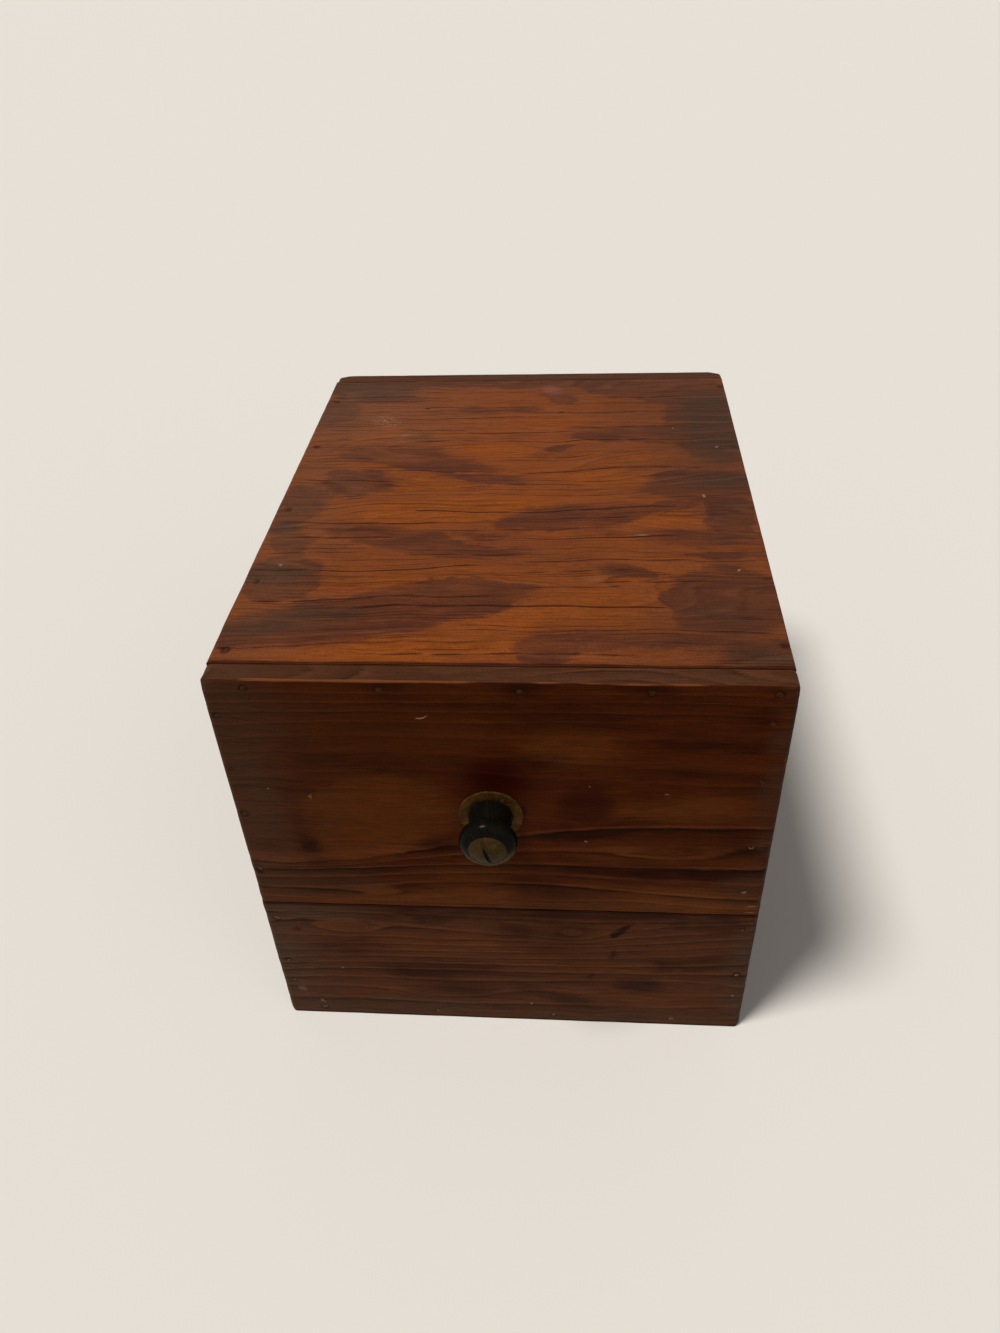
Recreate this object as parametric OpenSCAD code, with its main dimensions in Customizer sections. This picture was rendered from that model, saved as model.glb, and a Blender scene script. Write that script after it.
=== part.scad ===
// A nailed wooden box with a deep hinged lid and a turned pull knob.
// Frame: +Z up, the front and its knob face -Y. The origin is under the middle of the boards,
// on the surface that the box stands on.

/* [Box] */
// Width across the front board
box_w = 235; // [200:1:300]
// Depth from the front board's face to the back board's face
box_d = 298; // [240:1:380]
// Height with the lid shut
box_h = 229; // [200:1:300]
// Height of the seam between base and lid
base_h = 91; // [70:1:110]
// Gap at the seam
rim_gap = 0.4; // [0.2:0.1:1]

/* [Boards] */
// Thickness of the front, back and side boards
wall_t = 10; // [9:0.5:14]
// Thickness of the lid's top board
top_t = 10; // [8:0.5:14]
// Thickness of the base's bottom board
bottom_t = 10; // [8:0.5:14]
// How far the front and back boards stand past the side boards
end_overhang = 0.8; // [0:0.1:2]
// How far the top board stands above the front and back boards
top_proud = 0.3; // [0:0.1:1]

/* [Wear] */
// Rounding of the upright outer corners
corner_r = 3; // [1:0.5:4]
// Rounding of the front and back boards' outer corners, seen from the front
face_corner_r = 2.5; // [1:0.5:4]
// Rounding of the long edges that hands reach
edge_r = 1.2; // [0.5:0.1:2]
// Rounding of the rims and the inner edges
fine_edge_r = 0.5; // [0.2:0.1:1]

/* [Nails] */
// Length of a nail
nail_len = 22; // [18:1:24]
// Radius of a nail's shank
nail_r = 0.8; // [0.6:0.1:1]
// Radius of a nail's head
nail_head_r = 1.25; // [1.1:0.05:1.6]
// Thickness of a nail's head
nail_head_t = 0.6; // [0.4:0.1:1]
// Depth of a nail's head below the wood's face
nail_set = 0.3; // [0.1:0.1:0.6]
// Length of a nail's point
nail_point = 2.5; // [1:0.5:4]
// Radius of a nail's blunt tip
nail_tip_r = 0.2; // [0.1:0.1:0.5]
// Clearance of a nail in its hole
nail_fit = 0.03; // [0.02:0.01:0.1]

/* [Nail rows on the lid] */
// Number of nails down each end of the front and back boards
lid_end_nails = 4; // [3:1:5]
// Height of the lowest of them above the seam
lid_end_low = 16.5; // [12:0.5:25]
// Distance of the highest of them from the top
lid_end_high = 20; // [18:0.5:30]
// How far each nail of the left end strays upwards
lid_left_strays = [8, 11, 5, 0]; // [-12:1:12]
// How far each nail of the right end strays upwards
lid_right_strays = [0, -4, 2, 0]; // [-12:1:12]
// How far the left end's row lies outside the side board's middle
lid_left_out = 1.5; // [1:0.1:3]
// How far the right end's row lies inside the side board's middle
lid_right_in = 3.2; // [0:0.1:3.5]
// Number of nails along the top of the front and back boards
lid_edge_nails = 5; // [3:1:6]
// Distance of the first of them from the left end
lid_edge_left = 18; // [14:1:30]
// Distance of the last of them from the right end
lid_edge_right = 8; // [7:1:30]
// How far each of them strays to the right
lid_edge_strays = [0, 2, 5, 4, 0]; // [-12:1:12]
// Number of nails down each side of the top board
top_nails_a_side = 5; // [3:1:7]
// Distance of the first of them from the box's front
top_row_front = 19; // [17:1:40]
// Distance of the last of them from the box's back
top_row_back = 32; // [26:1:50]
// How far each nail of the left side strays backwards
top_left_strays = [0, -12, -10, -5, -8]; // [-15:1:12]
// How far each nail of the right side strays backwards
top_right_strays = [1, -12, -18, -10, 9]; // [-20:1:12]
// How far the left side's row lies inside the side board's middle
top_left_in = 1; // [0.8:0.1:2]
// How far the right side's row lies outside the side board's middle
top_right_out = 2.8; // [0:0.1:3]

/* [Nail rows on the base] */
// Number of nails down each end of the front and back boards
base_end_nails = 3; // [2:1:4]
// Height of the lowest of them
base_end_low = 27; // [26:0.5:32]
// Distance of the highest of them from the seam
base_end_high = 12; // [8:0.5:16]
// How far each of them strays upwards
base_end_strays = [0, -9, 0]; // [-10:1:4]
// Number of nails along the bottom of the front and back boards
base_edge_nails = 4; // [3:1:6]
// Distance of the first of them from the left end
base_edge_left = 19; // [14:1:30]
// Distance of the last of them from the right end
base_edge_right = 35; // [14:1:45]
// Number of nails down each side of the bottom board
bottom_nails_a_side = 5; // [3:1:7]
// Distance of their first and last from the box's front and back
bottom_row_end = 28; // [17:1:40]

/* [Knob] */
// Distance of the knob from the front board's middle, to the right
knob_x = -4; // [-30:1:30]
// Height of the knob above the seam
knob_rise = 64.5; // [40:0.5:90]
// Radius of the brass backplate
plate_r = 14; // [12:0.5:18]
// Thickness of the brass backplate
plate_t = 1.2; // [0.8:0.1:2]
// Bevel round the backplate
plate_bevel = 0.5; // [0.2:0.1:0.7]
// Radius of the knob's foot
foot_r = 9.5; // [8.5:0.5:11]
// Height of the straight ring round the foot
foot_rim = 1.2; // [0.5:0.1:3]
// Radius of the knob's waist
waist_r = 7.8; // [7:0.1:8.4]
// Length of the neck, from the backplate to the head
neck_len = 10.3; // [8:0.1:14]
// Radius of the rolled head's section
bead_r = 4.7; // [4:0.1:6]

/* [Knob bolt] */
// Radius of the bolt's domed head
dome_r = 8; // [6.5:0.5:9]
// Height of the bolt's domed head
dome_h = 3.4; // [2.5:0.1:4]
// Radius of the bolt's shank
bolt_r = 2.4; // [2:0.1:3]
// How far the bolt stands past its nut
bolt_end = 1.2; // [0.5:0.1:3]
// Clearance round the bolt in what it passes through
bolt_fit = 0.1; // [0.05:0.05:0.3]
// Width of the screwdriver slot
slot_w = 1.4; // [1:0.1:2]
// Depth of the screwdriver slot below the dome's top
slot_deep = 1.1; // [0.8:0.1:1.5]
// Turn of the slot from upright, to the left
slot_turn = 16; // [0:1:90]
// Radius of the washer inside the lid
washer_r = 7; // [6.5:0.5:9]
// Thickness of the washer
washer_t = 1; // [0.8:0.1:1.5]
// Width of the square nut across its flats
nut_w = 8.5; // [8:0.5:9]
// Thickness of the square nut
nut_t = 3.4; // [2.5:0.1:4]

/* [Hinges] */
// Length of a hinge along the seam
hinge_len = 38; // [30:1:50]
// Distance from the box's end to the hinge
hinge_inset = 32; // [20:1:45]
// Width of a leaf, from the pin's middle to its free edge
leaf_w = 17; // [15:0.5:22]
// Thickness of a leaf
leaf_t = 1.4; // [1.35:0.05:1.4]
// Radius of the knuckles
knuckle_r = 2.6; // [2.6:0.1:3]
// Number of knuckles on a hinge
knuckles = 5; // [3:2:7]
// Gap between neighbouring knuckles
knuckle_gap = 0.3; // [0.2:0.1:0.5]
// Distance of the knuckles from the back board
knuckle_clear = 0.15; // [0.15:0.05:0.3]
// Radius of the hinge pin
pin_r = 1.25; // [1:0.05:1.25]
// Clearance of the pin in the knuckles
pin_fit = 0.05; // [0.03:0.01:0.08]
// Radius of the pin's riveted ends
pin_end_r = 1.9; // [1.6:0.1:2.4]
// Length of the pin's riveted ends
pin_end_t = 0.7; // [0.4:0.1:1]

/* [Hinge screws] */
// Number of screws in a leaf
leaf_screws = 3; // [2:1:3]
// Distance from a leaf's end to the middle of its first screw
screw_margin = 6; // [5:0.5:8]
// Distance from a leaf's free edge to the middle of its outer screws
screw_edge = 4; // [3.5:0.5:5]
// How far the middle screw lies nearer to the pin
screw_stagger = 3; // [0:0.5:4]
// Length of a screw, head included
screw_len = 9; // [7:0.5:9.5]
// Radius of a screw's head
screw_head_r = 2.6; // [2.2:0.1:2.6]
// Radius of a screw's shank
screw_r = 1.4; // [1.4:0.1:1.6]
// Length of a screw's point
screw_point = 2; // [1:0.5:3]
// Radius of a screw's blunt tip
screw_tip_r = 0.3; // [0.1:0.1:0.5]
// Depth of a screw's head below the leaf's face
screw_set = 0.1; // [0.05:0.05:0.1]
// Width of a screw's slot
screw_slot_w = 0.7; // [0.5:0.1:1]
// Depth of a screw's slot
screw_slot_deep = 0.5; // [0.3:0.1:0.7]
// Clearance of a screw in its hole
screw_fit = 0.05; // [0.03:0.01:0.08]

/* [Hidden] */
$fn = 48;
through = 1;                                  // how far a cut runs past the face it leaves
nail_facets = 24;
neck_steps = 6;
nut_chamfer = 30;                             // angle of the nut's chamfered corners

front_y = -box_d / 2;
back_y = box_d / 2;
side_x = box_w / 2 - end_overhang;            // outer faces of the side boards
inner_d = box_d - 2 * wall_t;                 // length of the side, top and bottom boards
base_rim = base_h - rim_gap / 2;
lid_rim = base_h + rim_gap / 2;
board_top = box_h - top_proud;                // top of the lid's front and back boards
top_under = box_h - top_t;                    // underside of the top board

knob_z = base_h + knob_rise;
head_out = plate_t + neck_len;                // these run outwards from the front board's face
bead_out = head_out + bead_r;
dome_out = bead_out + bead_r;
head_r = waist_r + bead_r;
dome_sphere_r = (dome_r * dome_r + dome_h * dome_h) / (2 * dome_h);
bolt_in = wall_t + washer_t + nut_t + bolt_end;

leaf_in = knuckle_r + knuckle_clear;          // distance from the pin's middle to the back board
axis_y = back_y + leaf_in;
hinge_x = box_w / 2 - hinge_inset - hinge_len / 2;
knuckle_len = (hinge_len - (knuckles - 1) * knuckle_gap) / knuckles;
screw_cone = screw_head_r - screw_r;          // height of a head with 45 degree flanks

wood_red = "#5c2a14";
wood_dark = "#4a2415";
wood_orange = "#8a431c";
iron = "#3b3431";
old_brass = "#8a6f38";
ebony = "#14110e";

// Where a nail or screw that is modelled pointing down is driven to
DOWN = [0, 0, 0];
UP = [180, 0, 0];
BACKWARDS = [90, 0, 0];
FORWARDS = [-90, 0, 0];

// Moves what is modelled for the box's front or right to its back or left
module at_back() { mirror([0, 1, 0]) children(); }
module at_left() { mirror([1, 0, 0]) children(); }

// Nails

// Places of a row of nails from low to high, each off its even place by its own stray
function nail_row(count, low, high, strays) =
    [for (i = [0:count - 1]) low + (high - low) * i / (count - 1) + strays[i % len(strays)]];

nail_x = side_x - wall_t / 2;                 // middle of the side boards

lid_left_z = nail_row(lid_end_nails, base_h + lid_end_low, box_h - lid_end_high, lid_left_strays);
lid_right_z = nail_row(lid_end_nails, base_h + lid_end_low, box_h - lid_end_high, lid_right_strays);
lid_edge_x = nail_row(lid_edge_nails, -box_w / 2 + lid_edge_left, box_w / 2 - lid_edge_right,
                      lid_edge_strays);
top_left_y = nail_row(top_nails_a_side, front_y + top_row_front, back_y - top_row_back,
                      top_left_strays);
top_right_y = nail_row(top_nails_a_side, front_y + top_row_front, back_y - top_row_back,
                       top_right_strays);
base_end_z = nail_row(base_end_nails, base_end_low, base_h - base_end_high, base_end_strays);
base_edge_x = nail_row(base_edge_nails, -box_w / 2 + base_edge_left, box_w / 2 - base_edge_right,
                       [0]);
bottom_y = nail_row(bottom_nails_a_side, front_y + bottom_row_end, back_y - bottom_row_end, [0]);

lid_front_points = concat(
    [for (z = lid_left_z) [-nail_x - lid_left_out, front_y, z]],
    [for (z = lid_right_z) [nail_x - lid_right_in, front_y, z]],
    [for (x = lid_edge_x) [x, front_y, box_h - top_t / 2]]);
lid_top_points = concat(
    [for (y = top_left_y) [-nail_x + top_left_in, y, box_h]],
    [for (y = top_right_y) [nail_x + top_right_out, y, box_h]]);
base_front_points = concat(
    [for (s = [-1, 1], z = base_end_z) [s * nail_x, front_y, z]],
    [for (x = base_edge_x) [x, front_y, bottom_t / 2]]);
base_bottom_points = [for (s = [-1, 1], y = bottom_y) [s * nail_x, y, 0]];

// A pointed shank from z = 0 down to z = -length
module spike(length, radius, point, tip) {
    translate([0, 0, -length + point])
        cylinder(r = radius, h = length - point, $fn = nail_facets);
    translate([0, 0, -length])
        cylinder(r1 = tip, r2 = radius, h = point, $fn = nail_facets);
}

// A nail under a face at z = 0
module nail() {
    translate([0, 0, -nail_set - nail_head_t])
        cylinder(r = nail_head_r, h = nail_head_t, $fn = nail_facets);
    translate([0, 0, -nail_set - nail_head_t])
        spike(nail_len - nail_set - nail_head_t, nail_r, nail_point, nail_tip_r);
}

// What a nail's hole takes out of the wood
module nail_hole() {
    head_low = -nail_set - nail_head_t - nail_fit;
    translate([0, 0, head_low])
        cylinder(r = nail_head_r + nail_fit, h = through - head_low, $fn = nail_facets);
    spike(nail_len + nail_fit, nail_r + nail_fit, nail_point, nail_tip_r + nail_fit);
}

// Draws its child at each point, turned the way a nail is driven there
module driven(points, turn) {
    for (p = points)
        translate(p) rotate(turn) children();
}

module lid_front_nails() {
    color(iron) driven(lid_front_points, BACKWARDS) nail();
}

module lid_back_nails() {
    color(iron) at_back() driven(lid_front_points, BACKWARDS) nail();
}

module lid_top_nails() {
    color(iron) driven(lid_top_points, DOWN) nail();
}

module base_front_nails() {
    color(iron) driven(base_front_points, BACKWARDS) nail();
}

module base_back_nails() {
    color(iron) at_back() driven(base_front_points, BACKWARDS) nail();
}

module base_bottom_nails() {
    color(iron) driven(base_bottom_points, UP) nail();
}

module lid_nail_holes() {
    driven(lid_front_points, BACKWARDS) nail_hole();
    at_back() driven(lid_front_points, BACKWARDS) nail_hole();
    driven(lid_top_points, DOWN) nail_hole();
}

module base_nail_holes() {
    driven(base_front_points, BACKWARDS) nail_hole();
    at_back() driven(base_front_points, BACKWARDS) nail_hole();
    driven(base_bottom_points, UP) nail_hole();
}

// Boards

function all_four(r) = [r, r, r, r];

// What a rounded corner at the origin loses, where the wood lies in the first quarter
module corner_waste(r) {
    difference() {
        translate([-through, -through]) square(r + through);
        translate([r, r]) circle(r = r);
    }
}

// A rectangle with a radius for each corner: low left, low right, high right, high left
module worn_rectangle(w, h, radii) {
    places = [[0, 0], [w, 0], [w, h], [0, h]];
    difference() {
        square([w, h]);
        for (i = [0:3])
            if (radii[i] > 0)
                translate(places[i]) rotate(90 * i) corner_waste(radii[i]);
    }
}

// A board up from its low corner, rounded in plan, as seen from the front and from the right
module worn_board(size, plan, front, right) {
    intersection() {
        linear_extrude(size.z) worn_rectangle(size.x, size.y, plan);
        translate([0, size.y, 0]) rotate([90, 0, 0])
            linear_extrude(size.y) worn_rectangle(size.x, size.z, front);
        rotate([90, 0, 90])
            linear_extrude(size.x) worn_rectangle(size.y, size.z, right);
    }
}

module front_blank(low, high, front, right) {
    translate([-box_w / 2, front_y, low])
        worn_board([box_w, wall_t, high - low],
                   [corner_r, corner_r, fine_edge_r, fine_edge_r], front, right);
}

module lid_front_blank() {
    front_blank(lid_rim, board_top, [edge_r, edge_r, face_corner_r, face_corner_r],
                [fine_edge_r, fine_edge_r, fine_edge_r, edge_r]);
}

module base_front_blank() {
    front_blank(0, base_rim, [face_corner_r, face_corner_r, edge_r, edge_r],
                all_four(fine_edge_r));
}

module right_blank(low, high) {
    translate([side_x - wall_t, front_y + wall_t, low])
        worn_board([wall_t, inner_d, high - low], all_four(0), all_four(fine_edge_r), all_four(0));
}

module base_front_board() {
    color(wood_dark) difference() {
        base_front_blank();
        base_nail_holes();
    }
}

module base_back_board() {
    color(wood_dark) difference() {
        at_back() base_front_blank();
        base_nail_holes();
        at_hinges() leaf_screw_holes(-1);
    }
}

module base_right_board() {
    color(wood_red) difference() {
        right_blank(bottom_t, base_rim);
        base_nail_holes();
    }
}

module base_left_board() {
    color(wood_red) difference() {
        at_left() right_blank(bottom_t, base_rim);
        base_nail_holes();
    }
}

module base_bottom_board() {
    color(wood_dark) difference() {
        translate([-side_x, front_y + wall_t, 0])
            worn_board([2 * side_x, inner_d, bottom_t], all_four(0), all_four(fine_edge_r),
                       all_four(0));
        base_nail_holes();
    }
}

module lid_front_board() {
    color(wood_red) difference() {
        lid_front_blank();
        lid_nail_holes();
        on_knob_axis() bolt_hole();
    }
}

module lid_back_board() {
    color(wood_red) difference() {
        at_back() lid_front_blank();
        lid_nail_holes();
        at_hinges() leaf_screw_holes(1);
    }
}

module lid_right_board() {
    color(wood_red) difference() {
        right_blank(lid_rim, top_under);
        lid_nail_holes();
    }
}

module lid_left_board() {
    color(wood_red) difference() {
        at_left() right_blank(lid_rim, top_under);
        lid_nail_holes();
    }
}

module lid_top_board() {
    color(wood_orange) difference() {
        translate([-side_x, front_y + wall_t, top_under])
            worn_board([2 * side_x, inner_d, top_t], all_four(0),
                       [fine_edge_r, fine_edge_r, edge_r, edge_r],
                       [0, 0, fine_edge_r, fine_edge_r]);
        lid_nail_holes();
    }
}

// Knob, modelled upwards from the front board's face at z = 0

module on_knob_axis() {
    translate([knob_x, front_y, knob_z]) rotate([90, 0, 0]) children();
}

module bolt_hole() {
    translate([0, 0, -bolt_in - through])
        cylinder(r = bolt_r + bolt_fit, h = bolt_in + dome_out + 2 * through);
}

module knob_backplate() {
    color(old_brass) on_knob_axis() difference() {
        rotate_extrude()
            polygon([[0, 0], [plate_r, 0], [plate_r, plate_t - plate_bevel],
                     [plate_r - plate_bevel, plate_t], [0, plate_t]]);
        bolt_hole();
    }
}

// The neck's outline, easing from the foot in to the waist
neck = [for (i = [0:neck_steps])
    [waist_r + (foot_r - waist_r) * (1 + cos(180 * i / neck_steps)) / 2,
     plate_t + foot_rim + (neck_len - foot_rim) * i / neck_steps]];

module knob() {
    color(ebony) on_knob_axis() difference() {
        rotate_extrude() {
            polygon(concat([[0, plate_t], [foot_r, plate_t]], neck,
                           [[waist_r, dome_out], [0, dome_out]]));
            intersection() {
                translate([waist_r, bead_out]) circle(r = bead_r);
                translate([0, head_out]) square([head_r, dome_out - head_out]);
            }
        }
        bolt_hole();
    }
}

module knob_bolt() {
    color(old_brass) on_knob_axis() difference() {
        union() {
            translate([0, 0, dome_out]) rotate_extrude() intersection() {
                translate([0, dome_h - dome_sphere_r]) circle(r = dome_sphere_r);
                square([dome_r, dome_h]);
            }
            translate([0, 0, -bolt_in]) cylinder(r = bolt_r, h = bolt_in + dome_out + dome_h / 2);
        }
        rotate(slot_turn) translate([-slot_w / 2, -dome_r, dome_out + dome_h - slot_deep])
            cube([slot_w, 2 * dome_r, slot_deep + through]);
    }
}

module knob_washer() {
    color(iron) on_knob_axis() difference() {
        translate([0, 0, -wall_t - washer_t]) cylinder(r = washer_r, h = washer_t);
        bolt_hole();
    }
}

module knob_nut() {
    color(iron) on_knob_axis() difference() {
        translate([0, 0, -wall_t - washer_t - nut_t]) intersection() {
            translate([-nut_w / 2, -nut_w / 2, 0]) cube([nut_w, nut_w, nut_t]);
            cylinder(r1 = nut_w / 2, r2 = nut_w / 2 + nut_t / tan(nut_chamfer), h = nut_t);
        }
        bolt_hole();
    }
}

// Hinges, modelled with the pin along X through the origin and the back board's face at y = -leaf_in;
// the lid's leaf, side 1, lies above the pin and the base's, side -1, below it

module at_hinge(s) { translate([s * hinge_x, axis_y, base_h]) children(); }

module at_hinges() {
    for (s = [-1, 1])
        at_hinge(s) children();
}

// The base's leaf has the first and every second knuckle
function knuckle_side(i) = i % 2 == 0 ? -1 : 1;

// A round bar along knuckle i, longer by extra at both ends
module knuckle_bar(i, radius, extra) {
    translate([-hinge_len / 2 + i * (knuckle_len + knuckle_gap) - extra, 0, 0])
        rotate([0, 90, 0]) cylinder(r = radius, h = knuckle_len + 2 * extra);
}

module leaf(side) {
    color(old_brass) difference() {
        union() {
            translate([-hinge_len / 2, -leaf_in, side > 0 ? 0 : -leaf_w])
                cube([hinge_len, leaf_t, leaf_w]);
            for (i = [0:knuckles - 1])
                if (knuckle_side(i) == side) knuckle_bar(i, knuckle_r, 0);
        }
        for (i = [0:knuckles - 1])
            if (knuckle_side(i) != side) knuckle_bar(i, leaf_in + knuckle_gap, knuckle_gap);
        rotate([0, 90, 0])
            cylinder(r = pin_r + pin_fit, h = hinge_len + 2 * through, center = true);
        leaf_screw_holes(side);
    }
}

module left_hinge_base_leaf() { at_hinge(-1) leaf(-1); }
module left_hinge_lid_leaf() { at_hinge(-1) leaf(1); }
module right_hinge_base_leaf() { at_hinge(1) leaf(-1); }
module right_hinge_lid_leaf() { at_hinge(1) leaf(1); }

module hinge_pin() {
    color(old_brass) rotate([0, 90, 0]) {
        cylinder(r = pin_r, h = hinge_len + pin_end_t, center = true);
        for (s = [0, 1])
            mirror([0, 0, s]) translate([0, 0, hinge_len / 2]) cylinder(r = pin_end_r, h = pin_end_t);
    }
}

module left_hinge_pin() { at_hinge(-1) hinge_pin(); }
module right_hinge_pin() { at_hinge(1) hinge_pin(); }

screw_pitch = (hinge_len - 2 * screw_margin) / (leaf_screws - 1);

function leaf_screw_points(side) =
    [for (i = [0:leaf_screws - 1])
        [-hinge_len / 2 + screw_margin + i * screw_pitch,
         leaf_t - leaf_in,
         side * (leaf_w - screw_edge - (i % 2) * screw_stagger)]];

// A slotted countersunk screw under a face at z = 0
module screw() {
    translate([0, 0, -screw_set]) difference() {
        union() {
            translate([0, 0, -screw_cone])
                cylinder(r1 = screw_r, r2 = screw_head_r, h = screw_cone);
            spike(screw_len, screw_r, screw_point, screw_tip_r);
        }
        translate([-screw_head_r, -screw_slot_w / 2, -screw_slot_deep])
            cube([2 * screw_head_r, screw_slot_w, screw_slot_deep + through]);
    }
}

module screw_hole() {
    translate([0, 0, -screw_set]) {
        translate([0, 0, -screw_cone])
            cylinder(r1 = screw_r + screw_fit, r2 = screw_head_r + screw_fit, h = screw_cone);
        cylinder(r = screw_head_r + screw_fit, h = screw_set + through);
        spike(screw_len + screw_fit, screw_r + screw_fit, screw_point, screw_tip_r + screw_fit);
    }
}

module leaf_screw_holes(side) {
    driven(leaf_screw_points(side), FORWARDS) screw_hole();
}

module base_hinge_screws() {
    color(old_brass) at_hinges() driven(leaf_screw_points(-1), FORWARDS) screw();
}

module lid_hinge_screws() {
    color(old_brass) at_hinges() driven(leaf_screw_points(1), FORWARDS) screw();
}

base_bottom_board();
base_front_board();
base_back_board();
base_left_board();
base_right_board();
base_front_nails();
base_back_nails();
base_bottom_nails();
lid_top_board();
lid_front_board();
lid_back_board();
lid_left_board();
lid_right_board();
lid_front_nails();
lid_back_nails();
lid_top_nails();
knob_backplate();
knob();
knob_bolt();
knob_washer();
knob_nut();
left_hinge_base_leaf();
left_hinge_lid_leaf();
left_hinge_pin();
right_hinge_base_leaf();
right_hinge_lid_leaf();
right_hinge_pin();
base_hinge_screws();
lid_hinge_screws();
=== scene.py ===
"""The looks of a nailed wooden box with a deep hinged lid and a turned pull knob.

Boards are meshed here as worn wood, with rounded edges, checks along the grain and a dimple at
each nail. Sizes are in millimetres, and become metres where a mesh is made.
"""
import math

import bpy
import numpy as np
from mathutils import Matrix, Vector


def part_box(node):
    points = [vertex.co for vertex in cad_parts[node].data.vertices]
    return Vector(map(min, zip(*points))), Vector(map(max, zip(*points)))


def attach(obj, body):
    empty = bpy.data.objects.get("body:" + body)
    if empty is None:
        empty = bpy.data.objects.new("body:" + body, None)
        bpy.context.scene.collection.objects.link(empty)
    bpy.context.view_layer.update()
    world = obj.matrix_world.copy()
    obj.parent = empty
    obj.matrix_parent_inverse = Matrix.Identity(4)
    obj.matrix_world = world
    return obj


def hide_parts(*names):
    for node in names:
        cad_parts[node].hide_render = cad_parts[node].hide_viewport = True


MM = 0.001
X, Y, Z = 0, 1, 2

# Faces of a board, each an axis and its low (0) or high (1) side
FACES = LEFT, RIGHT, FRONT, BACK, BOTTOM, TOP = (X, 0), (X, 1), (Y, 0), (Y, 1), (Z, 0), (Z, 1)

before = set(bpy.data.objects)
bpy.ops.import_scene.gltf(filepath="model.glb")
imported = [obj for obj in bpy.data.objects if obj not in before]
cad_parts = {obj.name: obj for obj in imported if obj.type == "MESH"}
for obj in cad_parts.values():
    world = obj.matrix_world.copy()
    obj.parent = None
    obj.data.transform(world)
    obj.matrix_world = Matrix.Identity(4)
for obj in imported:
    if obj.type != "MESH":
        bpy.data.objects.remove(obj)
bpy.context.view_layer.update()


def corners(node):
    """Lowest and highest corner of a CAD node, in millimetres."""
    low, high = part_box(node)
    return np.array(low) / MM, np.array(high) / MM


def ease(value, low, high):
    """0 below low, 1 above high, and smooth between."""
    t = np.clip((value - low) / (high - low), 0, 1)
    return t * t * (3 - 2 * t)


def stretch(value, start, end, out, into):
    """1 between start and end. At each it eases from 0, out units outside, to 1, into units inside."""
    return ease(value, start - out, start + into) * ease(-value, -end - out, into - end)


def ripple(places, size, seed):
    """A smooth random field from about -1 to 1, whose bumps are about size across.

    places is a list of coordinate arrays, and size is one length or a length for each."""
    rng = np.random.default_rng(seed)
    sizes = np.broadcast_to(size, len(places))
    total = 0
    for _ in range(RIPPLE_WAVES):
        way = rng.normal(size=len(places))
        way *= 2 * math.pi * rng.uniform(0.6, 1.5) / np.linalg.norm(way)
        phase = rng.uniform(0, 2 * math.pi)
        total = total + np.sin(sum(w * p / s for w, p, s in zip(way, places, sizes)) + phase)
    return total / math.sqrt(RIPPLE_WAVES)


# Worn boards

RIPPLE_WAVES = 7  # waves added up in each ripple
ON_FACE = 1e-6  # how near a face a point lies in it

# Added to a board's seed, one for each thing left to chance
CLIMB_SEED, CHECK_SEED, DIMPLE_SEED, SHRINK_SEED, SWIRL_SEED, DARK_SEED = 20, 40, 60, 80, 90, 91

# Spacing of a board's points
EDGE_STEPS = (0, 0.15, 0.35, 0.6, 1.0, 1.5, 2.2, 3.1, 4.4)
NAIL_STEPS = (0, 0.6, 1.15, 1.6, 2.2, 3.0)
ALONG_STEP = 5.0  # widest spacing along the grain
ACROSS_STEP = 3.0
CLOSEST_LINES = 0.12

# Radii of edges
CORNER_R = 3.0  # upright corners of the box
FACE_CORNER_R = 4.2  # where a wall's end meets the top or the bottom
EDGE_R = 1.2
INNER_END_R = 0.9
FINE_EDGE = 0.5  # edges that meet another board
FINE_UNEVEN, FINE_SPACING = 0.3, 30
WORN_UNEVEN = ((0.1, 60), (0.06, 13))  # how much an exposed edge varies, and how far apart
WORN_RANGE = (0.5, 1.6)  # least and most share of its radius
CORNER_BALL = 4.4  # where three exposed edges meet
CORNER_REACH = 9.0  # how far from a corner its ball widens the edges

# Dents and checks
HEAD_WIDTH = 3.0  # more than the width of any nail's head
NAIL_SET = 0.3  # depth of the nails' heads below the wood's face
DIMPLE_DEPTH = NAIL_SET + 0.05
DIMPLE_FLOOR = 1.35  # radius of a dimple's flat floor
DIMPLE_REACH = (2.1, 2.8)  # least and most radius of a dimple
DIMPLE_DIRT = (0.3, 0.75)
DIRT_FADE = (1.2, 3.6)  # how far from a nail's middle its dirt begins and ends to fade
CHECK_HALF_WIDTH = 0.75
CHECK_DEPTH = 0.22
CHECK_FADE = (4, 8)  # how far outside and inside its ends a check fades
CHECK_USUAL, CHECK_UNEVEN, CHECK_SPACING = 0.8, 0.35, 18  # how strong a check is along its length
WAVE_DEPTH = 0.09  # unevenness of the faces
WAVE_SIZE = (70, 45)
EDGE_FADE = 5.0  # width of the strip at an edge where a face stays flat
RAW_REACH = 1.5  # how far raw wood shows round the hidden face
TOP_GAP = 0.5  # width of the gaps at the top board's front and back
GAP_USUAL, GAP_UNEVEN, GAP_SPACING = 0.65, 0.35, 60  # how wide a gap is along its length
GAP_FADE = 4.0  # how far into the board a gap reaches

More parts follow.
